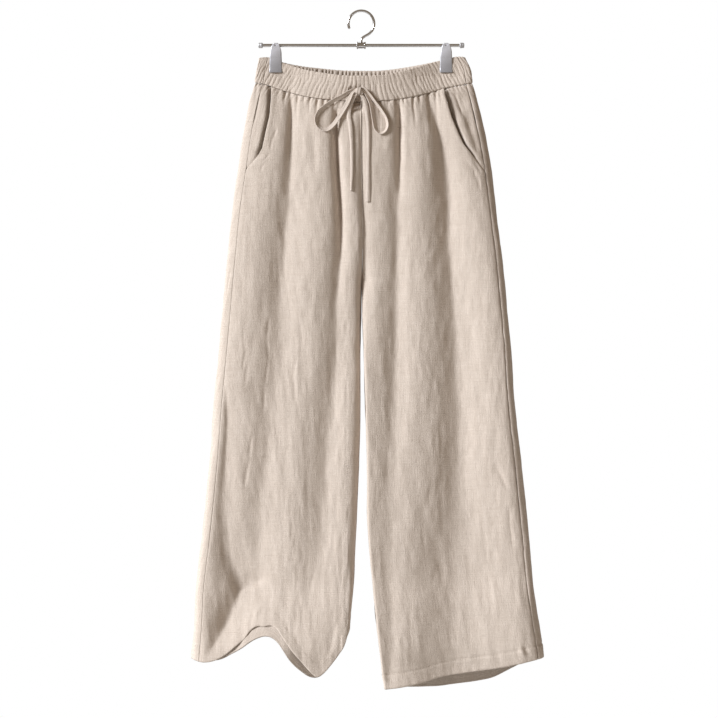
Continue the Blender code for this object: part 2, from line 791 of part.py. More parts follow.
def add_hanger():
    on_bar = (0, 0, -BAR_DROP)
    bar = ((-BAR_HALF, BAR_RADIUS), (BAR_HALF, BAR_RADIUS))
    add_lathe("hanger_bar", bar, on_bar, "wire", sides=16)
    half = SOCKET_LENGTH / 2
    bore = BAR_RADIUS + GAP
    socket = ((-half, bore), (-half, SOCKET_RADIUS), (half, SOCKET_RADIUS), (half, bore), (-half, bore))
    add_lathe("hanger_socket", socket, on_bar, "wire")
    for name, turn in (("hanger_cap_right", -1), ("hanger_cap_left", 1)):
        start = turn * (BAR_HALF + GAP)
        end = start + turn * CAP_LENGTH
        shoulder = end - turn * CAP_CHAMFER
        cap = ((start, CAP_RADIUS), (shoulder, CAP_RADIUS), (end, CAP_RADIUS - CAP_CHAMFER))
        add_lathe(name, cap, on_bar, "clip")
    add_tube("hanger_hook", hook_path(), WIRE_RADIUS, "wire", resolution=3)
    for name, clip_x in zip(("clip_right", "clip_left"), CLIP_X):
        add_clip(name, clip_x)


# ---------------------------------------------------------------- the whole


def main():
    for old in list(bpy.data.objects):
        bpy.data.objects.remove(old, do_unlink=True)
    bpy.context.scene.unit_settings.system = "METRIC"
    for side in ("right", "left"):
        add_panel(f"front_{side}", side, back=False)
        add_panel(f"back_{side}", side, back=True)
        add_turn_up(f"hem_{side}", side)
        add_pocket_facing(f"pocket_facing_{side}", side)
    add_waistband("waistband_front", back=False)
    add_waistband("waistband_back", back=True)
    add_drawstring()
    add_hanger()


main()
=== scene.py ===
"""The looks of the linen drawstring trousers on their clip hanger.

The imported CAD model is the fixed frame. Sizes are in millimetres and a factor of MM turns them into
metres, apart from the few whose comments say metres. Heights on the cloth are given as a drop: how
far below the middle of the front waist seam a point lies. On the hanger a drop starts from the rail,
and on a clip from the bar. The front faces -Y and the wearer's left leg is at +X.
"""

import json
import math

import bpy
import numpy as np
from mathutils import Vector
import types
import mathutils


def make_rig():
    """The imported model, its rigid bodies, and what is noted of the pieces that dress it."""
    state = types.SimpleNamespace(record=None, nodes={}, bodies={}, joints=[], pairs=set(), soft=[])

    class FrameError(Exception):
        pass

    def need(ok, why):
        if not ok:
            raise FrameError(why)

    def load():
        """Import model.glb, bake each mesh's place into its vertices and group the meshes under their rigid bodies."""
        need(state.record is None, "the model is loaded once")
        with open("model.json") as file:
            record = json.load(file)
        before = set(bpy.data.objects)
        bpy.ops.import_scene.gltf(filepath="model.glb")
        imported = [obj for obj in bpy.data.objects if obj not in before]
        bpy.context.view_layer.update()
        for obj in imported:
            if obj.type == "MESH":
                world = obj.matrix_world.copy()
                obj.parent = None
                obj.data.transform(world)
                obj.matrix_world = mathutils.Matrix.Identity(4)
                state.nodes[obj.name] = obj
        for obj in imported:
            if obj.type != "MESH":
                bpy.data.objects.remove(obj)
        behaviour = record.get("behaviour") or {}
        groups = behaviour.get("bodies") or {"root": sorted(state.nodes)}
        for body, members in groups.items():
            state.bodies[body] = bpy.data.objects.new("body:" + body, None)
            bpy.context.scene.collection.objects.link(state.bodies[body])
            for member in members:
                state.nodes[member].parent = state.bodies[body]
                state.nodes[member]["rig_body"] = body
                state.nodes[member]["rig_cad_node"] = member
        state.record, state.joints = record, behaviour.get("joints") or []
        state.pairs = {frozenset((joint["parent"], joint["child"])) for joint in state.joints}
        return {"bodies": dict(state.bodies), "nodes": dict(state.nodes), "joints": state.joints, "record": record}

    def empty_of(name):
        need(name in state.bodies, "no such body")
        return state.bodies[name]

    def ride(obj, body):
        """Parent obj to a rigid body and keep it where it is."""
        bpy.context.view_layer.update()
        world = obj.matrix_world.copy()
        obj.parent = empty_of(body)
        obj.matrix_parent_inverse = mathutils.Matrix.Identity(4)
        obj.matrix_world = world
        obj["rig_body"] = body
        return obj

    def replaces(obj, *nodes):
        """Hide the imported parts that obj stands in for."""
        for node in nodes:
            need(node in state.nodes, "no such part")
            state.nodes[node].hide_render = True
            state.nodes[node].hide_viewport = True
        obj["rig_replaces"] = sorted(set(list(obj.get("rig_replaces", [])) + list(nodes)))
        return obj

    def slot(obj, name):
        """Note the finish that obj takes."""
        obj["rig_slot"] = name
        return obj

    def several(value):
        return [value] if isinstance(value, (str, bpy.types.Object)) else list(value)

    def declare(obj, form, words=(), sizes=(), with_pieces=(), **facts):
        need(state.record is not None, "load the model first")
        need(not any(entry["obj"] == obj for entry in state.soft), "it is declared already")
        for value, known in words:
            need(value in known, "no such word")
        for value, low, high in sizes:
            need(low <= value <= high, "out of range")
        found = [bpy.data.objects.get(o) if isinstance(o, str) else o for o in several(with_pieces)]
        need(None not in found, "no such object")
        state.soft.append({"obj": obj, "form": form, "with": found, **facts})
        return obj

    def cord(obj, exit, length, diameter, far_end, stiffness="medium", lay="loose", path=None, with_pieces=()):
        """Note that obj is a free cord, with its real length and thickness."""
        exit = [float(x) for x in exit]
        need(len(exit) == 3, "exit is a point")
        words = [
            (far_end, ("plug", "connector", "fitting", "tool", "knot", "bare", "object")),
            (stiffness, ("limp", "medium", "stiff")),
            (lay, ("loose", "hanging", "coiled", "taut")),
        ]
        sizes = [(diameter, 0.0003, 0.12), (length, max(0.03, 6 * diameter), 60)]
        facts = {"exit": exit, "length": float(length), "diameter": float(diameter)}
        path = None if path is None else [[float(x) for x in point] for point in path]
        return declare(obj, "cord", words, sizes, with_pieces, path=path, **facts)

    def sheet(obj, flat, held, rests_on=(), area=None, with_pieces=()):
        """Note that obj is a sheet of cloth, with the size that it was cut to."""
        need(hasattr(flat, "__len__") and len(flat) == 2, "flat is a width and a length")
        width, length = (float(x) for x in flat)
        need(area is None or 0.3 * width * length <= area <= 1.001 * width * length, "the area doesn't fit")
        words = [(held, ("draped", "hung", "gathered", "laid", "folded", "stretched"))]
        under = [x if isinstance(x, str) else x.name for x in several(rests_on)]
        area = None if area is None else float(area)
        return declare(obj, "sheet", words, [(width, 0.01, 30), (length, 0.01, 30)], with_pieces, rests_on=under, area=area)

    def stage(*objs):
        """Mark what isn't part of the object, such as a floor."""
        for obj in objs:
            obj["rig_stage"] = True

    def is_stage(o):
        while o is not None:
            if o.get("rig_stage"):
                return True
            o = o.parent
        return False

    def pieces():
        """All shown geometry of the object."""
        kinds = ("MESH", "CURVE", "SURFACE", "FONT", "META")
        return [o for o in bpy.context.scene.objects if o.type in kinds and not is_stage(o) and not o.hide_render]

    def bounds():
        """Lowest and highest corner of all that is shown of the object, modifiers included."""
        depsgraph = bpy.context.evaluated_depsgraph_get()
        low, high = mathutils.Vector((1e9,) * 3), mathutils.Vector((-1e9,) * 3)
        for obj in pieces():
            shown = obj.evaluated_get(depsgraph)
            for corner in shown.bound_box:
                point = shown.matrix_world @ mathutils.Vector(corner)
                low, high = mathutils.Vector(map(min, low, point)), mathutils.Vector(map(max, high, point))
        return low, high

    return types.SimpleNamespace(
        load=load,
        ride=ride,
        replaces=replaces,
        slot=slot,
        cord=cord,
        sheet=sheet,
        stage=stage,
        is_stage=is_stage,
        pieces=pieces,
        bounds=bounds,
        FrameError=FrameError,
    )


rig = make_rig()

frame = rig.load()
CAD_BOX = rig.bounds()

MM = 0.001
WAIST_DROP = 140.7  # from the rail's bearing point down to the middle of the front waist seam
CROTCH = 276.0  # drop of the point where the four leg seams meet
GAP = 0.3  # between pieces that meet
FAR_SIDE_UV = 370  # how far the inside of the cloth is moved over the weave's pattern
SIDES = {"right": -1, "left": 1}  # the wearer's sides, and the sign of x there


# ---- small tools


def place(points):
    """Points whose third number is a drop, as points in millimetres in Blender's frame."""
    points = np.array(points, float)
    points[..., 2] = -WAIST_DROP - points[..., 2]
    return points


def curve_through(table, column, at):
    """A smooth curve through a table's first column and another one, level past both ends."""
    table = np.array(table, float)
    knots, values = table[:, 0], table[:, column]
    slopes = np.gradient(values, knots)
    at = np.clip(at, knots[0], knots[-1])
    i = np.clip(np.searchsorted(knots, at, side="right") - 1, 0, len(knots) - 2)
    step = knots[i + 1] - knots[i]
    t = (at - knots[i]) / step
    start = values[i] * (1 + 2 * t) + slopes[i] * step * t
    end = values[i + 1] * (3 - 2 * t) + slopes[i + 1] * step * (t - 1)
    return start * (1 - t) ** 2 + end * t**2


def line_through(table, column, at):
    """Straight runs through a table's first column and another one."""
    table = np.array(table, float)
    return np.interp(at, table[:, 0], table[:, column])


def ease(t):
    """0 to 1 with level ends."""
    t = np.clip(t, 0, 1)
    return t * t * (3 - 2 * t)


def noise(u, v, cell_u, cell_v, seed):
    """Smooth noise from -1 to 1 over a surface, with cells of the given size."""
    lattice = np.random.default_rng(seed).uniform(-1, 1, (256, 256))
    a, b = np.asarray(u) / cell_u, np.asarray(v) / cell_v
    i, j = np.floor(a).astype(int), np.floor(b).astype(int)
    s, t = ease(a - i), ease(b - j)
    i, j, k, n = i % 256, j % 256, (i + 1) % 256, (j + 1) % 256
    near = lattice[i, j] * (1 - s) + lattice[k, j] * s
    far = lattice[i, n] * (1 - s) + lattice[k, n] * s
    return near * (1 - t) + far * t


def hump(off, reach, power=2):
    """1 in the middle, falling to 0 on both sides of it."""
    return np.exp(-(np.abs(off / reach) ** power))


def fading(beyond, reach, power=1):
    """1 up to an edge, falling to 0 beyond it."""
    return hump(np.maximum(beyond, 0), reach, power)


def round_steps(count):
    """Angles of even steps once round."""
    return np.linspace(0, 2 * np.pi, count, endpoint=False)


def unit(vectors):
    return vectors / np.maximum(np.linalg.norm(vectors, axis=-1, keepdims=True), 1e-9)


def lengths_along(points):
    """Distance along a line of points, from its first one."""
    return np.concatenate([[0], np.cumsum(np.linalg.norm(np.diff(points, axis=0), axis=1))])


def evenly(points, count):
    """So many evenly spaced points along a line of points."""
    along = lengths_along(points)
    even = np.linspace(0, along[-1], count)
    return np.stack([np.interp(even, along, points[:, k]) for k in range(3)], -1)


def smooth_route(points, count):
    """Evenly spaced points on a smooth curve through a route's own points."""
    points = np.array(points, float)
    table = np.column_stack([lengths_along(points), points])
    fine = np.linspace(0, table[-1, 0], 1200)
    return evenly(np.stack([curve_through(table, k, fine) for k in (1, 2, 3)], -1), count)


def linked(name, data):
    """A new object in the scene, for a mesh, a light or a camera."""
    made = bpy.data.objects.new(name, data)
    bpy.context.scene.collection.objects.link(made)
    return made


def add_object(name, vertices, faces, material, uv=None):
    """A smooth mesh piece from points in millimetres. It rides on the one body."""
    data = bpy.data.meshes.new(name)
    data.from_pydata(np.reshape(vertices, (-1, 3)) * MM, [], faces)
    if uv is not None:
        corners = np.empty(len(data.loops), int)
        data.loops.foreach_get("vertex_index", corners)
        layer = data.uv_layers.new(name="cloth")
        layer.data.foreach_set("uv", (np.reshape(uv, (-1, 2))[corners] * MM).ravel())
    data.shade_smooth()
    data.materials.append(material)
    made = linked(name, data)
    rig.ride(made, "root")
    return made


def finished(made, slot, *nodes):
    """A piece that stands for one or more of the CAD's nodes, or for a detail of its own."""
    if nodes:
        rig.replaces(made, *nodes)
    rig.slot(made, slot)
    return made


def grid_faces(rows, columns, ring=False, start=0):
    """Corner numbers of the quads between rows and columns of points."""
    r, c = np.meshgrid(np.arange(rows - 1), np.arange(columns if ring else columns - 1), indexing="ij")
    n = (c + 1) % columns
    corners = [r * columns + c, r * columns + n, (r + 1) * columns + n, (r + 1) * columns + c]
    return start + np.stack(corners, -1).reshape(-1, 4)


def shell_faces(rows, columns, ring):
    """Quads of a closed shell between a near and a far grid, its rim included."""
    shift = rows * columns
    near, far = grid_faces(rows, columns, ring), grid_faces(rows, columns, ring, shift)[:, ::-1]

    def rim(line):
        return np.stack([line[:-1], line[:-1] + shift, line[1:] + shift, line[1:]], -1)

    first = np.arange(columns + ring) % columns
    rims = [rim(first), rim(first + (rows - 1) * columns)[:, ::-1]]
    if not ring:
        down = np.arange(rows) * columns
        rims += [rim(down)[:, ::-1], rim(down + columns - 1)]
    return np.concatenate([near, far, *rims])


def tube_faces(rings, sides, start=0):
    """Quads between closed rings, and one face over each end."""
    first = start + np.arange(sides)
    ends = [first[::-1].tolist(), (first + (rings - 1) * sides).tolist()]
    return grid_faces(rings, sides, True, start).tolist() + ends


def rings_round(line, side, up, radius, count):
    """Rings of points round the points of a line, each in the plane of its two directions."""
    turns = round_steps(count)[:, None]
    ring = side[..., None, :] * np.cos(turns) + up[..., None, :] * np.sin(turns)
    return line[..., None, :] + ring * radius


def add_shell(name, near, far, material, uv=None, flip=False, ring=False):
    """A closed shell between two grids of points, rows by columns."""
    faces = shell_faces(*near.shape[:2], ring)
    if flip:
        faces = faces[:, ::-1]
    if uv is not None:
        uv = np.stack([uv, uv + (FAR_SIDE_UV, 0)])
    return add_object(name, np.stack([near, far]), faces.tolist(), material, uv)


def add_tube(name, rings, material, uv=None):
    """A closed tube through rings of points."""
    return add_object(name, rings, tube_faces(*rings.shape[:2]), material, uv)


def normals_of(points, turn):
    """Unit normals of a grid, on the side given by turn, which is 1 or -1."""
    along, across = np.gradient(points, axis=0), np.gradient(points, axis=1)
    return unit(np.cross(across, along)) * turn


# ---- camera

FRAME_WIDTH = 1117.0  # what the photo's frame spans at the middle of the trousers
CAMERA_AT = (-3.5, -4000, -539.8)
SENSOR = 36.0


def add_camera():
    data = bpy.data.cameras.new("camera")
    data.sensor_width = SENSOR
    data.lens = SENSOR * -CAMERA_AT[1] / FRAME_WIDTH
    data.clip_end = 60
    camera = linked("camera", data)
    camera.location = Vector(CAMERA_AT) * MM
    camera.rotation_euler = (math.radians(90), 0, 0)
    bpy.context.scene.camera = camera


# ---- materials


class Nodes:
    """Short calls for building a material's nodes."""

    def __init__(self, name):
        self.material = bpy.data.materials.new(name)
        self.material.use_nodes = True
        self.tree = self.material.node_tree
        self.shader = self.tree.nodes["Principled BSDF"]

    def give(self, socket, value):
        """Links a value that another node puts out, and sets any other."""
        if isinstance(value, bpy.types.NodeSocket):
            self.tree.links.new(value, socket)
        else:
            socket.default_value = value

    def add(self, kind, inputs=(), **settings):
        node = self.tree.nodes.new(kind)
        for key, value in settings.items():
            setattr(node, key, value)
        for key, value in dict(inputs).items():
            self.give(node.inputs[key], value)
        return node

    def math(self, operation, a, b=0.0, c=0.0):
        return self.add("ShaderNodeMath", {0: a, 1: b, 2: c}, operation=operation).outputs[0]

    def total(self, *terms):
        """The sum of some values, each times its weight."""
        amount = 0.0
        for value, weight in terms:
            amount = self.math("MULTIPLY_ADD", value, weight, amount)
        return amount

    def grain(self, coordinates, scale, detail=2.0, roughness=0.5):
        """Noise from 0 to 1 whose features are 1/scale long each way."""
        stretched = self.add("ShaderNodeMapping", {"Vector": coordinates, "Scale": scale}).outputs[0]
        inputs = {"Vector": stretched, "Scale": 1.0, "Detail": detail, "Roughness": roughness}
        return self.add("ShaderNodeTexNoise", inputs).outputs["Fac"]

    def spread(self, value, low, high, to_low=0.0, to_high=1.0):
        inputs = {"Value": value, "From Min": low, "From Max": high, "To Min": to_low, "To Max": to_high}
        return self.add("ShaderNodeMapRange", inputs).outputs[0]

    def mix(self, share, a, b):
        node = self.add("ShaderNodeMix", data_type="RGBA")
        sockets = {s.identifier: s for s in node.inputs}
        for key, value in (("Factor_Float", share), ("A_Color", a), ("B_Color", b)):
            self.give(sockets[key], (*value, 1.0) if isinstance(value, tuple) else value)
        return next(s for s in node.outputs if s.identifier == "Result_Color")

    def bump(self, height, distance, strength=1.0):
        inputs = {"Height": height, "Distance": distance, "Strength": strength}
        self.set(Normal=self.add("ShaderNodeBump", inputs).outputs["Normal"])

    def set(self, **values):
        for key, value in values.items():
            self.give(self.shader.inputs[key.replace("_", " ")], value)


THREAD, TAPE_THREAD = 0.00078, 0.0006  # metres from one thread of the weave to the next


def linen_material(name, base, shade, pale, thread=THREAD):
    """Plain woven linen: uneven threads both ways, slubs, pale flecks and a soft halo of fibre."""
    made = Nodes(name)
    uv = made.add("ShaderNodeUVMap", uv_map="cloth").outputs[0]
    warp = made.grain(uv, (520, 62, 1), 3, 0.6)
    weft = made.grain(uv, (24, 620, 1), 3, 0.6)
    long_warp = made.grain(uv, (150, 15, 1))
    mottle = made.grain(uv, (55, 32, 1), 4, 0.6)
    tone = made.total((weft, 0.34), (warp, 0.32), (long_warp, 0.18), (mottle, 0.16))
    colour = made.mix(made.spread(tone, 0.40, 0.64), shade, base)
    slubs = made.grain(uv, (700, 60, 1), 1)
    colour = made.mix(made.spread(slubs, 0.66, 0.76, 0, 0.55), colour, pale)
    cross_slubs = made.grain(uv, (70, 800, 1), 1)
    colour = made.mix(made.spread(cross_slubs, 0.68, 0.78, 0, 0.35), colour, pale)

    turns = 2 * math.pi / thread
    axes = made.add("ShaderNodeSeparateXYZ", {"Vector": uv})
    across, down = (made.math("SINE", made.math("MULTIPLY", axes.outputs[k], turns)) for k in (0, 1))
    weave = made.math("MULTIPLY", across, down)
    made.bump(made.total((warp, 0.3), (weave, 0.05), (weft, 0.8), (mottle, 0.9), (slubs, 0.35)), 0.0011)
    made.set(Base_Color=colour, Roughness=0.88, Specular_IOR_Level=0.22)
    made.set(Sheen_Weight=0.12, Sheen_Roughness=0.5)
    return made.material


def metal_material(name, colour, roughness, brushed, metallic=1.0):
    """Metal with fine marks on it and a faint uneven tarnish."""
    made = Nodes(name)
    at = made.add("ShaderNodeTexCoord").outputs["Object"]
    marks = made.grain(at, [brushed] * 3, 4, 0.6)
    cloud = made.grain(at, [60] * 3, 3)
    darker = tuple(0.8 * c for c in colour)
    tone = made.total((cloud, 0.1), (marks, 0.12))
    made.bump(marks, 0.00004, 0.5)
    made.set(
        Base_Color=made.mix(made.spread(cloud, 0.3, 0.7, 0, 0.5), colour, darker),
        Roughness=made.math("ADD", tone, roughness - 0.11),
        Metallic=metallic,
    )
    return made.material


# Painted reflection and shade on the clips: darkest at the first height, bright again from the second.
PAINTED_SHADE_HEIGHTS = (-0.095, -0.056)  # heights in metres of a clip's lower end and of where it is bright again


def clip_material(name):
    """Satin grey plated clips with painted reflection and shade: darker at their lower ends, bright higher up."""
    made = Nodes(name)
    at = made.add("ShaderNodeTexCoord").outputs["Object"]
    down = made.add("ShaderNodeSeparateXYZ", {"Vector": at}).outputs[2]
    fine = made.grain(at, (900, 900, 120), 4, 0.6)
    # Painted shade: dark at a clip's lower end, bright higher up, with fine grain over it.
    low = made.math("MULTIPLY_ADD", fine, 0.08, made.spread(down, *PAINTED_SHADE_HEIGHTS))
    made.bump(fine, 0.00003, 0.6)
    made.set(
        Base_Color=made.mix(low, (0.30, 0.295, 0.31), (0.64, 0.645, 0.69)),
        Roughness=made.math("MULTIPLY_ADD", fine, 0.14, 0.36),
        Metallic=0.3,
    )
    return made.material


LINEN = linen_material("linen", (0.665, 0.58, 0.507), (0.575, 0.492, 0.42), (0.76, 0.68, 0.61))
TAPE = linen_material("tape", (0.7, 0.615, 0.545), (0.6, 0.515, 0.445), (0.8, 0.72, 0.65), TAPE_THREAD)
SEWING = linen_material("sewing_thread", (0.7, 0.63, 0.55), (0.62, 0.54, 0.46), (0.78, 0.71, 0.63))
CLIP = clip_material("satin_clip")
CHROME = metal_material("chromed_wire", (0.72, 0.72, 0.73), 0.2, 900)
CAP = metal_material("cap", (0.52, 0.52, 0.53), 0.45, 600, 0.4)


# ---- the drawstring

KNOT = (-4, -25, -16)  # x, y and drop of its middle
TAPE_WIDTH = 8.4
TAPE_STEP = 1.2  # between rings of the tape's mesh
SQUEEZED, WIDE_FROM = 0.45, 18  # share of its width in the knot, and how far out it is fully wide
TAPE_SWAY, TAPE_UNEVEN = 9, 0.12  # degrees that it turns, and millimetres that its edge wanders

# From the knot's middle: x, distance out from it, height, and how far the tape is turned about its
# own line, in degrees, from facing the front. Each cord comes out of the band behind the knot, makes
# its loop, goes back through the knot and ends in its tail.
CORDS = {
    "drawstring_right": (
        (-3.5, -3.4, 2, 0), (-4.6, -1.2, 2.6, 15), (-7.6, -0.6, 2.2, 30), (-16, -1.6, -2.5, 40),
        (-25.5, -2, -8.5, 38), (-40, -2.6, -16, 36), (-52, -2.4, -24, 36), (-61, -1.6, -32, 38),
        (-65.5, -1.2, -41.5, 40), (-64.5, -0.4, -51, 38), (-58.5, 0.6, -58.5, 34),
        (-49.5, 0.4, -60.5, 28), (-40.5, -0.4, -54, 24), (-32, -0.8, -43, 22), (-25, -0.4, -32, 20),
        (-18, 0.2, -20, 20), (-12.5, 0.8, -9, 22), (-8, 1, -2.2, 22), (-4, 0.6, -0.6, 15),
        (-2.6, 0.2, -3.2, 0), (-4.4, -0.4, -6.2, -10), (-9.5, -1.6, -14, -14), (-14, -2.8, -25, -20),
        (-15.4, -1.6, -38, -22), (-13.2, 0.4, -53, -18), (-11.4, 1.3, -75, -18), (-10.6, 2.3, -103, -18),
        (-10.6, 3, -131, -18), (-11.7, 3, -155, -18),
    ),
    "drawstring_left": (
        (4.2, -3.4, 2, 0), (4.6, -1.2, 3.2, -20), (7.2, -0.4, 3.4, -36), (16, -0.8, -5.5, -50),
        (26, -1, -18.5, -58), (37, -0.2, -33.5, -62), (43, 0.4, -45, -64), (44, 0.6, -56, -64),
        (40, 1.2, -63, -60), (33, 1.2, -65.5, -56), (27, 0.9, -60, -54), (23.5, 0.2, -47, -54),
        (21, -0.2, -33, -54), (18, -0.8, -19, -50), (13, -0.9, -8, -40), (8.2, -0.6, -1.6, -26),
        (4, 0.2, 0.4, -10), (2, 0.4, -2.4, 0), (3, 0, -5.5, 0), (7.5, -0.4, -12, -2),
        (10.6, -1.4, -22, 0), (13.4, -0.2, -39, 2), (15.4, 0.2, -59, 3), (15.8, 1.4, -87, 4),
        (15.2, 1.8, -114, 4), (14.8, 0.6, -145, 3), (14.4, -1.4, -172, 0),
    ),
}

# The tape's section: along its width as a share of the half width, and through it in millimetres,
# first where it lies slack, with thick sewn edges, and then where it hangs, with a soft ridge.
TAPE_SECTION = (
    (1, 0, 0), (0.95, 0.5, 0.34), (0.8, 0.72, 0.62), (0.55, 0.46, 1), (0.25, 0.3, 1.42), (0, 0.26, 1.66),
    (-0.25, 0.3, 1.42), (-0.55, 0.46, 1), (-0.8, 0.72, 0.62), (-0.95, 0.5, 0.34), (-1, 0, 0),
    (-0.95, -0.5, -0.34), (-0.8, -0.72, -0.42), (-0.55, -0.46, -0.3), (-0.25, -0.3, -0.2),
    (0, -0.26, -0.16), (0.25, -0.3, -0.2), (0.55, -0.46, -0.3), (0.8, -0.72, -0.42), (0.95, -0.5, -0.34),
)


# Share of the tape's width that shows along each cord, from where its tail begins. One tail is folded
# lengthways as it hangs.
TAPE_SHARE = {
    "drawstring_right": ((185, 0.86), (205, 0.9), (235, 0.8), (275, 0.66), (330, 0.5)),
    "drawstring_left": ((172, 0.86), (195, 0.9), (225, 0.74), (290, 0.76), (340, 0.95)),
}


def knot_point(x, out, height):
    """Points given from the knot's middle."""
    return place(np.stack([KNOT[0] + x, KNOT[1] - out, KNOT[2] - height], -1))


def ribbon(path, faces_to, turn, half_width, ridged):
    """Rings of the tape's section along a path, with UVs.

    faces_to is the way that the tape faces before it is turned, in degrees, about its own line.
    ridged is 0 where the tape is slack and 1 where it hangs with a ridge.
    """
    ahead = unit(np.gradient(path, axis=0))
    faces_to = np.broadcast_to(faces_to, path.shape)
    normal = unit(faces_to - (faces_to * ahead).sum(-1, keepdims=True) * ahead)
    side = np.cross(ahead, normal)
    turn = np.radians(turn)[:, None]
    across = side * np.cos(turn) + normal * np.sin(turn)
    through = np.cross(across, ahead)
    wide, slack, hanging = np.array(TAPE_SECTION, float).T
    thick = slack * (1 - ridged[:, None]) + hanging * ridged[:, None]
    width = half_width[:, None, None] * wide[:, None]
    rings = path[:, None] + across[:, None] * width + through[:, None] * thick[..., None]
    around = np.broadcast_to(np.cumsum(np.abs(np.gradient(wide))) * 3, rings.shape[:2])
    return rings, np.stack([around, np.broadcast_to(lengths_along(path)[:, None], around.shape)], -1)


def add_cords():
    """Both drawstring cords and the wrap of the knot, declared as cords."""
    wrap = add_knot()
    for name, route in CORDS.items():
        route = np.array(route)
        points = knot_point(*route[:, :3].T)
        length = lengths_along(smooth_route(points, 400))[-1]
        path = smooth_route(points, int(length / TAPE_STEP))
        along, marks = lengths_along(path), lengths_along(points)
        turn = np.interp(along, marks * along[-1] / marks[-1], route[:, 3])
        turn = turn + TAPE_SWAY * noise(along, 0, 30, 1, 8)
        from_knot = np.linalg.norm(path - knot_point(0, 0, 0), axis=1)
        half_width = TAPE_WIDTH / 2 * (SQUEEZED + (1 - SQUEEZED) * ease((from_knot - 4) / WIDE_FROM))
        half_width = half_width * line_through(TAPE_SHARE[name], 1, along)
        half_width = half_width + TAPE_UNEVEN * noise(along, 0, 11, 1, 5)
        tail = ease((along - TAPE_SHARE[name][0][0]) / 25)
        rings, uv = ribbon(path, (0, -1, 0), turn, half_width, tail)
        side = name.split("_")[1]
        cord = add_tube(name, rings, TAPE, uv)
        finished(cord, "drawstring", f"drawstring_{side}_loop", f"drawstring_{side}_tail")
        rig.cord(
            cord,
            exit=path[0] * MM,
            length=float(length * MM),
            diameter=TAPE_WIDTH * MM,
            far_end="bare",
            stiffness="limp",
            lay="hanging",
            path=(path[::3] * MM).tolist() + [(path[-1] * MM).tolist()],
            with_pieces=[wrap] if side == "right" else [],
        )


WRAP_RINGS = 52
WRAP_REACH, WRAP_TILT = 150, 14  # degrees each way round the knot, and aslant
WRAP_OUT, WRAP_UP = 4.6, 5.6  # from the knot's middle
CORE_HALF, CORE_OUT, CORE_UP = 6.6, 3.4, 4.4  # the bunched tape: half its length, its depth and its height


def add_knot():
    """The pass of the tape round the middle of the bow, over the bunched tape inside it."""
    turns, tilt = np.radians(np.linspace(-WRAP_REACH, WRAP_REACH, WRAP_RINGS)), math.radians(WRAP_TILT)
    out, up = WRAP_OUT * np.cos(turns), WRAP_UP * np.sin(turns)
    centre, slack = knot_point(0, 0, 0), np.zeros(WRAP_RINGS)
    points = centre + np.stack([up * math.sin(tilt), -out, up * math.cos(tilt)], -1)
    rings, uv = ribbon(points, unit(points - centre), slack, 2.5 + 0.4 * np.cos(turns), slack)
    core, core_uv = bunched_tape()
    faces = tube_faces(*rings.shape[:2]) + tube_faces(*core.shape[:2], start=rings[..., 0].size)
    vertices = np.concatenate([rings.reshape(-1, 3), core.reshape(-1, 3)])
    uv = np.concatenate([uv.reshape(-1, 2), core_uv.reshape(-1, 2)])
    wrap = add_object("drawstring_wrap", vertices, faces, TAPE, uv)
    return finished(wrap, "drawstring", "drawstring_knot")


def bunched_tape():
    """Rings and UVs of the folded tape inside the knot, with creases running out to both loops."""
    across, turn = np.linspace(-1, 1, 22)[:, None], round_steps(28)[None]
    full = np.sqrt(np.clip(1 - np.abs(across) ** 2.6, 0, 1))
    waist = 1 - 0.22 * hump(across, 0.3)
    crease = 1 + 0.12 * np.cos(5 * turn + 2.2 * across) * np.abs(across)
    size = full * waist * crease
    x = CORE_HALF * across + 0 * turn
    z = CORE_UP * size * np.sin(turn) - 1.4 * across**2
    points = knot_point(0, 0, 0) + np.stack([x, CORE_OUT * size * np.cos(turn), z], -1)
    return points, np.stack([x, 4 * turn + 0 * across], -1)


# ---- the cloth's form

SEAM_GAP = 0.3  # between the waistband and the panels
SHELL = 0.9  # a panel's cloth
BAND_CLOTH = 2.4  # two layers and the elastic between them
PINCHED = GAP / 2 + BAND_CLOTH  # half the thickness of the waistband in a clip
PROUD = 0.5  # how far the waistband stands out from the panels
CLIPS = {"clip_right": -133, "clip_left": 132}  # x of each
JAW_REACH = 10.0  # the cloth lies flat so far to each side of a clip
# How far the pinch reaches beyond that towards the middle and outwards, and how sharply it ends.
PINCH_INWARD = (58, 1.5)
PINCH_OUTWARD = (36, 2.6)
# Exponents of the cloth's section at some drops, towards its outer fold and towards the inner one:
# the higher the first and the lower the second, the flatter the cloth and the tighter its fold.
OUTER_ROUND = {
    "right": ((340, 3.4, 0.5), (463, 4.2, 0.45), (560, 8, 0.4), (640, 12, 0.34), (860, 13, 0.34)),
    "left": (
        (0, 3.8, 0.48), (90, 5.6, 0.44), (214, 12, 0.32), (370, 16, 0.3), (618, 12, 0.34),
        (712, 10, 0.34), (844, 8, 0.36),
    ),
}
INNER_ROUND = {
    "right": (
        (276, 22, 0.38), (400, 18, 0.4), (540, 15, 0.38), (640, 19, 0.32), (700, 32, 0.28),
        (740, 80, 0.22), (780, 130, 0.2),
    ),
    "left": ((276, 14, 0.38), (320, 60, 0.24), (400, 180, 0.14), (600, 240, 0.12)),
}
RISE_BEND = 186  # drop where the centre seams start to curve in under the body
FIRST_GUESS = 860  # of the drop of a hem
WAIST_HALF = 20  # half depth of the smooth waist, and how far above its seam its girth is measured
MIDDLE_CLOSENESS = 0.12

EDGE_COLUMNS = {"right": (2, 1), "left": (3, 4)}  # the inner and the outer one in the outline
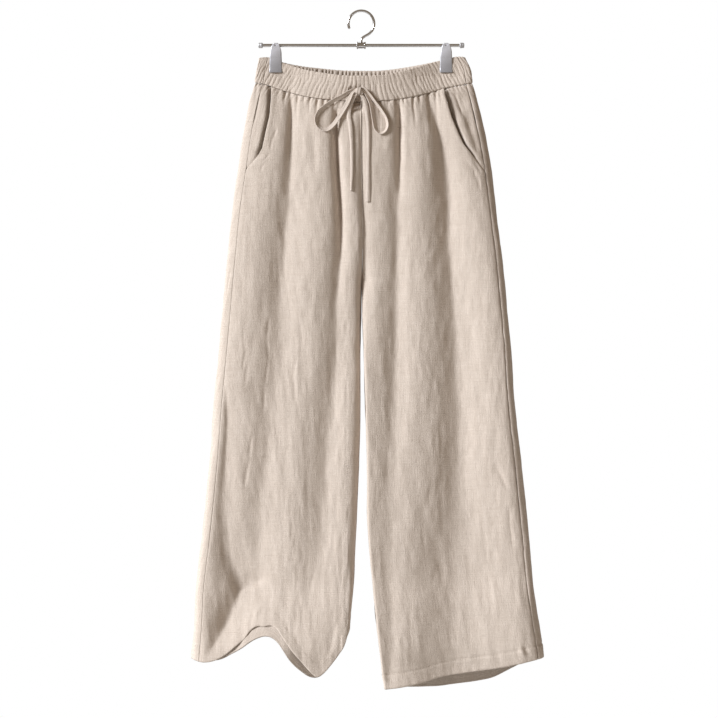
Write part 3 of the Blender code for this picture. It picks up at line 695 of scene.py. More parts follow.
# drop, right outer fold, right inner edge, left inner edge, left outer fold
OUTLINE = (
    (-72, -158, -0.15, 0.15, 160), (-50, -162.5, -0.15, 0.15, 170), (-31, -165.3, -0.15, 0.15, 173),
    (-4, -173, -0.15, 0.15, 180.5), (43, -182.4, -0.15, 0.15, 191.5), (105, -191.8, 0.4, 0.7, 202.5),
    (167, -201, 1.8, 2.1, 210), (230, -207.3, 2.2, 2.44, 218), (276, -211.7, 1, 1.12, 223),
    (330, -216.4, 0, 1.4, 228), (385, -221.3, -1.2, 3.4, 233), (463, -228.7, -1.2, 5.8, 238),
    (572, -236.9, -3.6, 8.8, 250), (665, -246.2, -7.8, 10, 259.5), (758, -257, -12.6, 18.3, 268.8),
    (821, -260.2, -18.5, 24.5, 278.2), (864, -263.5, -18.5, 29.5, 284.4), (915, -263.5, -18.5, 36, 284.4),
)

# drop, half depth of the front, half depth of the back
DEPTH = (
    (-72, 18.5, 17.5), (-31, 20.5, 19.5), (0, 21.7, 20.7), (60, 25, 25), (150, 28, 29), (276, 30, 32),
    (600, 33, 34), (915, 36, 36),
)

# drop, how far a clip still closes the cloth there
PINCH = ((-40, 1), (-18, 0.6), (10, 0.25), (50, 0))

# x, drop of the waist seam on the front, and on the back
WAIST_SEAM = (
    (-173, -32, -32), (-145, -26.5, -27.5), (-122, -18, -21), (-95, -10, -17), (-49, -2.3, -13),
    (0, 0, -11.5), (49, -2, -13), (95, -11, -17), (129, -21, -23), (173, -30, -30),
)

# x, drop of the waistband's top on the front, and on the back
WAIST_TOP = (
    (-162, -69, -69), (-144, -70, -70), (-122, -62, -62.5), (-95, -52.4, -57.4), (-64, -45.6, -54.3),
    (-33, -41, -51.8), (0, -39.7, -51), (33, -41, -51.5), (63, -47.4, -54.8), (102, -59.2, -61),
    (131, -67, -67), (150, -71, -71), (165, -70, -70),
)

# x, drop of the hem on the front, and on the back. The right leg's is lifted in an arch.
HEM = {
    "right": (
        (-264, 863, 864), (-248, 867.5, 868), (-232, 866.5, 867), (-217, 860.5, 863.5),
        (-196.5, 845, 852.5), (-181, 831, 843.5), (-168.5, 816, 834.5), (-159, 811.5, 829.5),
        (-150, 812, 827), (-139, 810.5, 828.5), (-128, 818, 837), (-120, 829.5, 849), (-112, 841.5, 862),
        (-95, 863, 881), (-80, 880.5, 893), (-68, 890, 896), (-57, 883, 889), (-46, 870, 874),
        (-35, 855, 857.5), (-25, 838, 839.5), (-18.5, 818, 818),
    ),
    "left": (
        (36, 910.5, 912.8), (60, 907.5, 913.5), (84, 903, 913.5), (104, 898, 913), (123, 892.5, 912),
        (141, 889.5, 909.5), (161, 886.5, 907), (185, 883, 903.5), (208, 879.5, 898), (227, 876, 888.5),
        (245, 871.5, 879), (262, 867.5, 871), (284.4, 862, 862),
    ),
}

# The front panel's outer edge: the pocket mouth, then a short slant to the side seam.
POCKET_EDGE = {  # drop, x
    "right": (
        (-32, -139.5), (-4, -140.1), (21.5, -142), (47, -147.9), (73, -153.5), (84, -160), (108, -182),
    ),
    "left": (
        (-32, 127.5), (-11, 130.2), (24, 140.4), (46, 149.4), (65.5, 158.4), (85, 174), (112, 196),
    ),
}
MOUTH_END = {"right": 84.0, "left": 85.0}  # drop where the pocket's mouth ends
SEAM_INSET = {"right": 13.0, "left": 10.5}  # side seam from the outer fold, on the front

# Long valleys of the fronts and of the backs. Each row has a drop, the x of the valley's bottom there,
# its depth, how far it reaches to the left and to the right, and how blunt its bottom is.
FRONT_FOLDS = (
    (  # right leg, from the clip down
        (-29, -114, 0, 6, 12, 1), (-15, -111.6, 4, 8, 12, 1.5), (4, -109.3, 6, 10, 18, 2),
        (43, -109.3, 8, 13, 22, 2), (89, -109.3, 10.5, 17, 24, 2.5), (152, -111.6, 14, 21, 28, 3.5),
        (214, -117.9, 17, 24, 29, 3.5), (292, -123.3, 17.5, 27, 30, 5), (370, -123.3, 16, 32, 36, 9),
        (463, -136.5, 15, 34, 44, 11), (541, -144.3, 14.5, 31, 42, 10), (619, -153.7, 13.5, 27, 40, 8),
        (681, -157.5, 12, 28, 36, 7), (743, -154.4, 3, 30, 26, 8), (805, -145.1, 0, 30, 26, 10),
    ),
    (  # its sharp bottom
        (-23, -112.4, 0, 4, 4, 0.8), (-12, -110.9, 4, 4, 4, 0.8), (4, -110.1, 5.5, 4, 4, 0.8),
        (27, -109.3, 6.5, 4, 4, 0.8), (58, -110.1, 5.5, 4.5, 5, 1), (97, -110.1, 3, 5, 5, 1.2),
        (152, -112.4, 0, 5, 5, 1.5),
    ),
    (  # right leg, beside the bow
        (-7, -40.8, 0, 8, 10, 2), (9, -37.7, 2, 9, 10, 3), (43, -36.2, 1.2, 10, 10, 3),
        (89, -35.4, 1.8, 11, 11, 3), (152, -32.3, 4.5, 15, 14, 3), (214, -30.3, 9, 18, 18, 3),
        (292, -37.7, 14.5, 20, 26, 4), (370, -34.6, 15, 22, 28, 5.5), (463, -45.5, 15.5, 24, 28, 7),
        (541, -51.7, 15.5, 24, 26, 8), (619, -56.4, 13.5, 24, 26, 10), (673, -61.1, 11, 22, 26, 11),
        (712, -67.3, 6.5, 20, 24, 10), (759, -76.6, 3, 18, 20, 9), (813, -86, 0, 16, 18, 9),
    ),
    (  # its sharp bottom
        (9, -39.3, 0, 4, 4, 0.8), (21, -38.8, 8, 4.6, 3.2, 0.7), (43, -38.4, 13, 4.6, 3.4, 0.7),
        (74, -37.4, 15.5, 5, 3.6, 0.7), (113, -35.4, 16.5, 5.8, 3.8, 0.75),
        (152, -32.6, 14.5, 6.4, 4.2, 0.8), (214, -30.7, 8, 6.4, 4.5, 1), (268, -33.8, 2, 6, 5, 1.2),
        (315, -37.7, 0, 6, 5, 1.5),
    ),
    (  # middle
        (15, -0.4, 0, 5, 10, 1.2), (51, -0.4, 3.4, 3.6, 8, 1), (89, 0.1, 3.8, 3.8, 10, 1),
        (152, 3, 7.5, 6.6, 20, 1), (214, 4.9, 10, 10, 24, 1), (292, 3.3, 10, 7.5, 24, 1.2),
        (338, 2.7, 7, 7, 24, 1.5), (385, 1.9, 2, 7, 24, 2), (419, 1.2, 0, 10, 26, 2),
    ),
    (  # left leg, beside the bow
        (-7, 57.2, 0, 8, 8, 2), (12, 58, 1.2, 8, 8, 2), (43, 59.5, 1.4, 9, 10, 3),
        (89, 59.5, 3.4, 13, 15, 3), (152, 58.1, 9.5, 18, 20, 4), (214, 57.6, 13, 18, 22, 4),
        (292, 54.1, 15.5, 20, 24, 4), (370, 53.3, 15, 20, 24, 5), (463, 50, 12, 20, 24, 7),
        (541, 48.6, 8, 20, 22, 8), (619, 46.3, 6, 20, 20, 7), (712, 44.7, 5, 22, 14, 5),
        (774, 46.3, 5.5, 24, 14, 5), (836, 44.7, 5.5, 24, 12, 5), (914, 41.6, 4.5, 20, 12, 5),
    ),
    (  # its sharp bottom
        (-9, 57.2, 0, 3.4, 3.2, 0.8), (4, 57.6, 6, 3.4, 3.2, 0.7), (27, 58.7, 9, 3.8, 3.2, 0.7),
        (66, 58.7, 9.5, 4.6, 3.6, 0.8), (105, 58.4, 6.5, 5, 4.2, 1.1), (152, 57.5, 1, 5, 5, 1.5),
        (175, 57.2, 0, 5, 5, 1.5),
    ),
    (  # left leg, under the clip
        (-21, 102.3, 0, 8, 10, 1.5), (-9, 105.9, 5.5, 8, 12, 1.5), (4, 108.5, 8.5, 8.5, 14, 1.6),
        (43, 117.9, 13, 7.5, 18, 1.8), (89, 125.6, 17, 11.5, 22, 2.4), (152, 133.4, 20, 20, 28, 4),
        (214, 136.5, 21.5, 27, 34, 4.5), (292, 141.2, 23.5, 31, 40, 5), (370, 146.7, 24, 36, 46, 6),
        (463, 150.5, 25, 38, 48, 7), (541, 152.1, 25, 40, 50, 8), (619, 152.9, 26.5, 46, 66, 14),
        (712, 153.7, 29, 54, 110, 24), (805, 153.7, 30, 58, 120, 30), (930, 153.7, 27, 56, 120, 30),
    ),
    (  # right leg, beside its side seam
        (440, -210.4, 0, 3, 20, 1.2), (463, -208.1, 5, 4, 24, 1.5), (541, -208.4, 11, 7, 25, 3),
        (587, -209.7, 13, 11, 29, 5.5), (619, -211.2, 14, 14, 32, 7), (665, -209.7, 15.5, 18, 36, 7),
        (704, -204.2, 20, 24, 50, 6), (735, -194.1, 25, 29, 70, 5.5), (755, -186.3, 28.5, 33, 100, 5),
        (769, -191, 30, 31, 110, 5), (782, -197.2, 30, 29, 110, 5), (797, -204.2, 29, 25, 110, 5),
        (813, -211.2, 25, 20, 100, 4.5), (829, -219.8, 16, 17, 80, 3), (852, -233.8, 5, 9, 50, 3),
        (875, -241.6, 0, 8, 40, 3),
    ),
)
FOLD_SHARPNESS = 1.15


def mirrored_fold(fold, shift, share):
    """A valley like another one, on the other side of the middle, and moved sideways."""
    return [
        (drop, shift - x, share * depth, right, left, blunt) for drop, x, depth, left, right, blunt in fold
    ]


# Which valley of the fronts each one of the backs is like, how far it is moved, and its share of depth.
BACK_FOLDS = [
    mirrored_fold(FRONT_FOLDS[k], shift, share)
    for k, shift, share in (
        (7, -6, 0.85), (5, -14, 0.9), (6, -14, 0.8), (4, 0, 0.9),
        (2, 8, 0.8), (3, 8, 0.7), (0, 4, 0.9), (1, 4, 0.9),
    )
]
# The right leg swells forward where it was lifted: x and drop, reach to the left and up, height.
LIFT = (-112, 812, 86, 58, 15)
# Both its layers lie together at the lifted hem: middle x, reach each way and height of that, and gap.
HEM_TOGETHER = (-157, 84, 120, 3.6)
# The cloth falls back under the knot: x, drop, reach to each side, above it and below it, depth.
KNOT_HOLLOW = (-8.5, -6, 10.5, 12, 18, 19)


def edges(side, drop):
    """x of a leg's inner edge and of its outer fold. Above the crotch the inner edge is the middle."""
    return [curve_through(OUTLINE, column, drop) for column in EDGE_COLUMNS[side]]


def across_at(side, angle, drop):
    """x at an angle of the section, and the share of the width there from the inner edge."""
    inner, outer = edges(side, drop)
    across = (1 - np.cos(angle)) / 2
    return inner + (outer - inner) * across, across


def joined(drop):
    """1 where both legs are one body, falling to 0 at the crotch along the curve of the centre seams."""
    below = np.clip((drop - RISE_BEND) / (CROTCH - RISE_BEND), 0, 1)
    return 1 - below**3


def folds(table, x, drop):
    """How far the valleys of a table reach inwards."""
    inward = np.zeros_like(x)
    for number, fold in enumerate(table):
        middle, depth, left, right, blunt = (curve_through(fold, k, drop) for k in range(1, 6))
        across = x - middle - 1.2 * noise(drop, 0, 70, 1, 40 + number)
        away, reach = np.sqrt(across**2 + blunt**2) - blunt, np.where(across < 0, left, right)
        inward = inward + np.maximum(depth, 0) * hump(away, reach, FOLD_SHARPNESS)
    return inward


def pinch_at(x, drop):
    """0 for free cloth to 1 for cloth shut in a clip."""
    inside = np.zeros_like(x)
    for clip_x in CLIPS.values():
        inward = (clip_x - x) * math.copysign(1, clip_x)
        reach, sharpness = (np.where(inward > 0, *pair) for pair in zip(PINCH_INWARD, PINCH_OUTWARD))
        inside = inside + fading(np.abs(inward) - JAW_REACH, reach, sharpness)
    return np.minimum(inside, 1) * line_through(PINCH, 1, drop)


def clamped(x, v):
    """1 for cloth that lies flat between a clip's jaws, at v below the rim."""
    return sum(hump(x - clip_x, 12, 6) for clip_x in CLIPS.values()) * ease((26 - v) / 5)


def rounded(across, exponents, drop):
    """The share of its full depth that the section has at a share of its width."""
    flatness, tightness = (line_through(exponents, k, drop) for k in (1, 2))
    return np.clip(1 - across**flatness, 0, 1) ** tightness


def section(side, angle, drop):
    """x and y on the outer face of the cloth, all round one side of the trousers at one drop.

    The angle is 0 at the inner edge of the front, pi at the outer fold, 2 pi at the back's inner edge.
    """
    x, across = across_at(side, angle, drop)
    whole = joined(drop)
    inner_round = rounded(1 - across, INNER_ROUND[side], drop)
    full = rounded(across, OUTER_ROUND[side], drop) * (whole + (1 - whole) * inner_round)
    is_front = angle < np.pi
    depth = np.where(is_front, curve_through(DEPTH, 1, drop), curve_through(DEPTH, 2, drop))
    valley = np.where(is_front, folds(FRONT_FOLDS, x, drop), folds(BACK_FOLDS, x, drop))
    lift_x, lift_drop, reach_x, reach_drop, height = LIFT
    swell = height * fading(lift_x - x, reach_x, 4) * hump(drop - lift_drop, reach_drop, 4)
    hollow_x, hollow_drop, beside, above, below, deep = KNOT_HOLLOW
    off = drop - hollow_drop
    hollow = deep * hump(x - hollow_x, beside, 6) * hump(off, np.where(off < 0, above, below), 3)
    half = (depth - valley + np.where(is_front, swell - hollow, 0)) * full
    shut = pinch_at(x, drop)
    half = half * (1 - shut) + np.minimum(PINCHED, half) * shut
    return x, np.where(is_front, -half, half)


def angle_of(side, x, drop):
    """The section's angle at an x on the front."""
    inner, outer = edges(side, drop)
    return np.arccos(np.clip(1 - 2 * (x - inner) / (outer - inner), -1, 1))


def side_seam_angle(side, drop):
    return angle_of(side, edges(side, drop)[1] - SIDES[side] * SEAM_INSET[side], drop)


def front_edge_angle(side, drop):
    """Where the front panel ends: the pocket's edge, and the side seam below it."""
    at_pocket = angle_of(side, line_through(POCKET_EDGE[side], 1, drop), drop)
    seam = side_seam_angle(side, drop)
    return np.where(drop < POCKET_EDGE[side][-1][0], np.minimum(at_pocket, seam), seam)


def edge_curve(table, shift=0):
    """The drop of a curved edge, from a table of x, front drop and back drop, and a shift downwards."""

    def drop(x, is_front):
        return np.where(is_front, curve_through(table, 1, x), curve_through(table, 2, x)) + shift

    return drop


def grid(side, shares, angle_at, top, foot):
    """Angles, drops and points of a piece whose rows go a share of the way from its top to its foot.

    The drop and the angle depend on each other, so they are found by repeating.
    """
    share = np.asarray(shares)[:, None] + 0 * angle_at(np.zeros((1, 1)))
    drop = FIRST_GUESS * share
    for _ in range(12):
        angle = angle_at(drop)
        x, is_front = across_at(side, angle, drop)[0], angle < np.pi
        drop = top(x, is_front) * (1 - share) + foot(x, is_front) * share
    angle = angle_at(drop)
    x, y = section(side, angle, drop)
    return angle, drop, place(np.stack([x, y, drop], -1))


def girth(side, angle):
    """Length round the smooth waist from the middle of the front, less than 0 on the right."""
    steps = np.linspace(0, 2 * np.pi, 1440)
    x, across = across_at(side, steps, -WAIST_HALF)
    y = WAIST_HALF * rounded(across, OUTER_ROUND["right"], 0) * np.where(steps < np.pi, -1, 1)
    return SIDES[side] * np.interp(angle, steps, lengths_along(np.stack([x, y, 0 * x], -1)))


def spread(count):
    """Column places from 0 to 1, a little closer at the middle, where the section's angle runs fast."""
    t = np.linspace(0, 1, count)
    return t + MIDDLE_CLOSENESS * np.sin(2 * np.pi * t) / (2 * np.pi)


# ---- relief: pleats, creases and crumple

PLEAT = 6.6  # from one pleat of the elastic waist to the next
PLEAT_SEED = (21, 31)  # of the front and the back
BAND_HEIGHT = 40
PLEAT_LEAN = 0.36  # how far the pleats lean outwards on their way down, away from the middle
CASING = 0.36  # share of the band's height, from the top, where the elastic is stitched
PLEAT_WANDER, PLEAT_BEND = 3.0, 1.8  # how far pleats lie off even places, and bend on their way down
PLEAT_SHARPNESS = 0.75
# Heights of the crumple's large, middling and small swells, and of its crests.
CRUMPLE = (0.7, 0.4, 0.12, 0.28)
FREE_FROM = 5  # a seam holds the cloth flat up to about here
PUCKER, PUCKER_LENGTH = 1.5, 9  # how deep the band's pleats go on into the panels, and how far
TUCK, TUCK_LENGTH = 0.9, 1.3  # the panels' top edge turns in under the band
SEAM_LENGTH = 1.2  # how far a seam draws the cloth in

# Gathers of the front panels under the band: x, depth, half width, length.
FRONT_GATHERS = (
    (-166, 1.2, 2.4, 16), (-152, 1.4, 2.6, 20), (-128, 1.6, 2.6, 16), (-118.5, 3.6, 2.4, 14),
    (-98.5, 3, 2.2, 26), (-89, 1.6, 2, 12), (-79.5, 2.2, 2, 16), (-68.5, 3, 2.2, 22), (-58, 2.6, 2, 14),
    (-50.5, 2, 2, 12), (-42.5, 2.4, 2.2, 14), (-24, 1.3, 2, 12), (16, 1.3, 2, 12), (29, 2.6, 2.2, 18),
    (41, 1.6, 2.2, 11), (54, 2.6, 2.2, 16), (65, 1.6, 2, 12), (80.5, 2.8, 2.2, 26), (90, 1.6, 2, 14),
    (103.5, 3.4, 2.4, 40), (114.8, 2.8, 2.2, 26), (122, 1.6, 2.2, 18), (139, 1.5, 2.4, 22),
    (150, 1.4, 2.4, 18), (160, 2.2, 3.4, 26),
)

# Short creases of the fronts: x and drop of both ends, depth, reach to the left and to the right.
FRONT_CREASES = (
    (-203, 762, -144, 738, 4, 5, 18), (-118, 800, -82, 862, 1.2, 9, 12), (-75, 36, -73, 116, 1.8, 7, 5.5),
    (-40, 800, -50, 856, 1.6, 7, 5), (-185, 350, -178.5, 388, 0.8, 2, 1.4),
    (-179, 384, -184, 420, 0.9, 2, 1.4), (-176, 404, -180, 446, 0.9, 2.4, 1.8),
    (-142, 330, -146, 372, 0.9, 2.2, 1.4), (-146.5, 366, -142.5, 404, 1, 2, 1.4),
    (-144, 398, -149.5, 446, 0.9, 2, 1.4), (-149, 440, -151, 486, 1.1, 2.8, 1.8),
    (-168.5, 512, -174, 556, 1.4, 3.4, 2.2), (-173, 550, -181, 600, 1.4, 3.4, 2.2),
    (-99, 392, -105, 430, 1, 2.8, 1.8), (-104, 424, -101, 470, 0.9, 3, 2),
    (-130, 40, -137, 60, 1.2, 2.4, 1.6), (-138, 56, -141, 78, 1, 2.8, 2),
    (-147, 66, -158, 88, 1.3, 2.4, 1.6), (-141, 80, -150, 92, 1, 2.2, 1.6),
    (-150, 94, -157, 110, 1.1, 2, 1.6), (176, 92, 186, 112, 1.1, 2.2, 1.6),
    (171, 96, 180, 126, 1.2, 2.2, 1.8), (180, 112, 184, 142, 1, 2.2, 1.8),
    (164, 90, 172, 114, 0.8, 2.2, 1.8), (205, 560, 228, 604, 1.6, 3, 4), (226, 620, 236, 700, 1.2, 3, 3),
)


def pleats(s, v, seed):
    """Height from 0 to 1 of the waist's gathers at s round it, v below the rim, with thin valleys."""
    s = s - PLEAT_LEAN * v * np.tanh(s / 60)
    s = s + PLEAT_WANDER * noise(s, 0, 17, 1, seed) + PLEAT_BEND * noise(s, v, 8, 13, seed + 1)
    return np.abs(np.sin(np.pi * s / PLEAT)) ** PLEAT_SHARPNESS


def gathers(table, x, below):
    """Short valleys that start at the seam and run out below it."""
    inward = np.zeros_like(x)
    for number, (at, depth, half_width, length) in enumerate(table):
        middle = at + 0.03 * at * below / 40 + 0.9 * noise(below, 0, 14, 1, 90 + number)
        inward = inward + depth * fading(below, length, 1.5) * hump(x - middle, half_width)
    return inward


def back_gathers():
    """Gathers for the back, as uneven as those of the front."""
    chance = np.random.default_rng(11)
    at, rows = -162, []
    while at < 165:
        rows.append((at, chance.uniform(1.2, 3.2), chance.uniform(2.0, 2.7), chance.uniform(11, 42)))
        at += chance.uniform(8, 16)
    return tuple(rows)


def creases(table, x, drop):
    """Troughs along straight lines, soft at both ends."""
    inward = np.zeros_like(x)
    for x0, drop0, x1, drop1, depth, left, right in table:
        along_x, along_drop = x1 - x0, drop1 - drop0
        length = math.hypot(along_x, along_drop)
        t = ((x - x0) * along_x + (drop - drop0) * along_drop) / length**2
        off = ((x - x0) * along_drop - (drop - drop0) * along_x) / length
        soft = ease(t / 0.3) * ease((1 - t) / 0.3)
        inward = inward + depth * soft * hump(off, np.where(off < 0, left, right), 1.7)
    return inward


def back_creases():
    """Short creases for the backs, leaning both ways at the knees and under the seat."""
    chance = np.random.default_rng(23)
    rows = []
    for _ in range(46):
        side = chance.choice((-1, 1))
        x, drop = side * chance.uniform(30, 205), chance.uniform(60, 760)
        length, lean = chance.uniform(26, 60), chance.uniform(-0.35, 0.35) + 0.12 * side
        depth, width = chance.uniform(0.7, 1.5), chance.uniform(1.8, 3.4)
        rows.append((x, drop, x + lean * length, drop + length, depth, width, 0.7 * width))
    return tuple(rows)


def crumple(u, v, seed):
    """The cloth's own unevenness, drawn out along the warp."""
    bend = 5 * noise(u, v, 32, 64, seed)
    big = noise(u + bend, v, 17, 58, seed + 1)
    middle = noise(u + bend, v, 7.5, 22, seed + 2)
    small = noise(u + bend, v, 3.8, 9, seed + 3)
    crests = 1 - 2 * np.abs(noise(u + bend, v + bend, 12, 32, seed + 4))
    return sum(height * part for height, part in zip(CRUMPLE, (big, middle, small, crests)))


# ---- the leg panels

FRONT_COLUMNS = 150
BACK_COLUMNS = 140
ROW_STEPS = (0.8, 3.9, 2)  # between rows at the waist seam, down the leg and in the hem
LEG_LENGTH = 880
TURN_UP = 24
STITCH_LEVEL = 22.4  # hem stitches above the edge
# How deep the stitches draw a groove round each hem, and how high they pucker it.
HEM_GROOVE = {"right": 0.4, "left": 1.2}
HEM_PUCKER = {"right": 0.8, "left": 2.4}
HEM_PROUD, HEM_ROLL = 0.4, 0.7  # the doubled cloth stands out, and its edge turns in
SEAM_GROOVE = {"right": 0.16, "left": 1.0}  # how far the panels' edges sink into their seams
SIDE_GAP = {"right": 0.06, "left": 0.3}
# How far the front panel's edge lifts at the mouth, at what drop, and how far up and down.
POCKET_GAPE = {"right": (1.2, 10, 40), "left": (3.4, 6, 42)}
POCKET_STITCH, POCKET_FOLD = 6.3, 7.5  # from the pocket's edge to its stitches, and its fold's width
POCKET_PROUD, POCKET_GROOVE, POCKET_PUCKER = 0.35, 0.45, 0.25
PANEL_SEED = {"right": 200, "left": 220}  # of the crumple, and 10 more at the back
FACING_SEED = 300
PANEL_UV, FACING_UV = 600, 2500  # where each panel and each facing lies on the weave's pattern
BAND_UV = (3000, 4000)  # the same for the front and the back of the waistband
PANELS = {}  # what later pieces need of each panel


def row_shares(side, back):
    """Shares of the way from the waist seam to the hem, with one exactly at the crotch."""
    first, step, last = ROW_STEPS
    drops = [0.0]
    while drops[-1] < LEG_LENGTH:
        grown = min(first + 0.06 * drops[-1], step)
        drops.append(drops[-1] + (min(grown, last) if LEG_LENGTH - drops[-1] < 36 else grown))
    shares = np.array(drops) / drops[-1]
    seam = curve_through(WAIST_SEAM, 2 if back else 1, 0)
    inner_hem = max(HEM[side], key=lambda row: -SIDES[side] * row[0])[1]
    crotch = (CROTCH - seam) / (inner_hem - seam)
    shares[np.abs(shares - crotch).argmin()] = crotch
    return shares


def arcs(points):
    """Length along each row from its first column."""
    steps = np.linalg.norm(np.diff(points, axis=1), axis=-1)
    return np.concatenate([np.zeros((len(points), 1)), np.cumsum(steps, 1)], 1)


def plain_arcs(side, angle, drop, back):
    """Length along each row from its inner edge on the form without folds, which the grain follows."""
    x, across = across_at(side, angle, drop)
    y = curve_through(DEPTH, 1, drop) * rounded(across, OUTER_ROUND[side], drop)
    arc = arcs(np.stack([x, y, -drop], -1))
    return arc - arc[:, -1:] if back else arc


def hem_relief(side, u, above):
    """The doubled cloth of the hem: proud, puckered, with a groove along its stitches."""
    inside = ease((TURN_UP + 1 - above) / 2)
    pucker = noise(u + 0.3 * above, above, 7.5, 26, 71) * noise(u, 0, 45, 1, 72) ** 2
    pucker = pucker * hump(above - 17, 10)
    groove = HEM_GROOVE[side] * hump(above - STITCH_LEVEL, 1.4)
    return HEM_PROUD * inside + HEM_PUCKER[side] * pucker - groove - HEM_ROLL * fading(above, 1.1)


def panel_relief(side, back, points, drop, angle, top, foot):
    """How far each point of a panel stands out from the smooth form."""
    x, is_front = points[..., 0], angle < np.pi
    arc = arcs(points)
    u = plain_arcs(side, angle, drop, back)
    below, above = drop - top(x, is_front), foot(x, is_front) - drop
    seed = PANEL_SEED[side] + 10 * back
    edge = np.minimum(arc, arc[:, -1:] - arc)
    free = 1 - hump(edge, FREE_FROM)
    cloth = crumple(u, drop, seed) * free * ease(below / 25)
    table, lines = (back_gathers(), back_creases()) if back else (FRONT_GATHERS, FRONT_CREASES)
    sunk = gathers(table, x, below) + creases(lines, x, drop) * free
    pucker = pleats(girth(side, angle), below + BAND_HEIGHT, PLEAT_SEED[back])
    sunk = sunk + PUCKER * (1 - pucker) * fading(below, PUCKER_LENGTH)
    tucked = (TUCK + 0.5 * noise(x, 0, 5, 1, seed + 6)) * fading(below, TUCK_LENGTH)
    seams = SEAM_GROOVE[side] * (1 + 0.5 * noise(drop, 0, 9, 1, seed + 7)) * fading(edge, SEAM_LENGTH)
    return cloth - sunk - tucked - seams + hem_relief(side, u, above) * ease((edge + 2) / 5)


def pocket_relief(side, points, drop):
    """The pocket's edge on a front panel: folded and stitched, and lifted off where it gapes."""
    arc = arcs(points)
    inwards = arc[:, -1:] - arc
    end, (gape, gape_drop, gape_reach) = MOUTH_END[side], POCKET_GAPE[side]
    at = ease((drop + 40) / 12) * ease((end - drop) / 8)
    lifted = gape * hump(drop - gape_drop, gape_reach) * hump(inwards, 14)
    folded = POCKET_PROUD * ease((POCKET_FOLD - inwards) / 1.5)
    folded = folded - POCKET_GROOVE * hump(inwards - POCKET_STITCH, 0.9)
    pucker = POCKET_PUCKER * noise(drop, 0, 6, 1, 88) * hump(inwards - 5, 4)
    closed = ease((drop - end + 4) / 8) * ease((POCKET_EDGE[side][-1][0] + 6 - drop) / 8)
    return at * (folded + pucker) + lifted - 0.4 * closed * hump(inwards, 3)


def brought_forward(x, y, drop, foot):
    """The lifted leg's back, whose hem lies against the front's."""
    middle, reach, height, gap = HEM_TOGETHER
    front = section("right", angle_of("right", x, drop), drop)[1]
    above = foot(x, False) - drop
    share = hump(x - middle, reach, 6) * ease(1.25 * (height - above) / height) ** 1.6
    return y + share * (front + gap - y)


def add_panel(name, side, back):
    """One front or back: half of the body above the crotch and half of a leg below it."""
    columns = spread(BACK_COLUMNS if back else FRONT_COLUMNS)

    def angle_at(drop):
        if back:
            start, end = side_seam_angle(side, drop), 2 * np.pi
        else:
            start, end = 0, front_edge_angle(side, drop)
        return start + (end - start) * columns

    top, foot = edge_curve(WAIST_SEAM, SEAM_GAP / 2), edge_curve(HEM[side])
    angle, drop, smooth = grid(side, row_shares(side, back), angle_at, top, foot)
    if back and side == "right":
        smooth[..., 1] = brought_forward(smooth[..., 0], smooth[..., 1], drop, foot)
    turn, facing = -SIDES[side], 1 if back else -1
    inner, seam = (-1, 0) if back else (0, -1)
    smooth[:, inner, 1] += facing * GAP / 2
    smooth[:, seam, 0] += facing * SIDES[side] * SIDE_GAP[side] / 2
    relief = panel_relief(side, back, smooth, drop, angle, top, foot)
    if not back:
        relief = relief + pocket_relief(side, smooth, drop)
    near = smooth + normals_of(smooth, turn) * relief[..., None]
    near[:, inner, 0] = smooth[:, inner, 0]
    normal = normals_of(near, turn)
    far = near - normal * SHELL
    uv = np.stack([plain_arcs(side, angle, drop, back) + PANEL_UV * len(PANELS), -drop], -1)
    made = add_shell(name, near, far, LINEN, uv, flip=side == "left")
    above = foot(near[..., 0], angle < np.pi) - drop
    PANELS[side, back] = dict(near=near, far=far, normal=normal, above=above, arc=arcs(near), drop=drop)
    return finished(made, "linen", name.replace("_panel", ""))


# ---- hems, facings, waistband

TURN_UP_SHELL = 0.7
TURN_UP_GAP = 0.25


def add_turn_up(side):
    """The hem's folded cloth, a ring inside the foot of a leg that follows its folds."""
    rows = int(TURN_UP / ROW_STEPS[2])
    parts = [PANELS[side, back] for back in (False, True)]
    far, normal = (np.concatenate([part[key][-rows:] for part in parts], 1) for key in ("far", "normal"))
    near = far - normal * TURN_UP_GAP
    arc = arcs(near)
    uv = np.stack([arc, 2 * np.arange(rows)[:, None] + 0 * arc], -1)
    inner = near - normal * TURN_UP_SHELL
    made = add_shell(f"hem_{side}_turn_up", near, inner, LINEN, uv, flip=side == "left", ring=True)
    return finished(made, "linen", f"hem_{side}")


FACING_TUCK, FACING_BELOW = 12, 34  # how far it goes on under the front panel, and below the mouth
FACING_DEPTH = 2.2  # under the front panel's outer face
END_DEPTH, TUCKED_DEPTH = 1.15, 1.4  # the same below the mouth's end, and more of it farther in
FACING_CRUMPLE, FACING_PUCKER, FACING_TURN_IN = 0.8, 1.3, 1.5
FACING_COLUMNS = 60
# How far the facing falls back behind the mouth, at what drop, how far up and down, and beyond it.
FACING_DIPS = {
    "right": ((7.5, 24, 56, 4.2), (3.5, 74, 9, 6)),
    "left": ((6.5, 6, 22, 9), (5, 55, 36, 4.2)),
}
# Creases of the facings, as those of the fronts.
FACING_CREASES = {
    "right": ((-157, -20, -168, 40, 1.2, 3, 3),),
    "left": (
        (143, -22, 160, 26, 2.2, 3.4, 2.2), (149.5, -18, 172.5, 52, 3.2, 5, 15),
        (166, 30, 182, 84, 1.6, 5, 5),
    ),
}


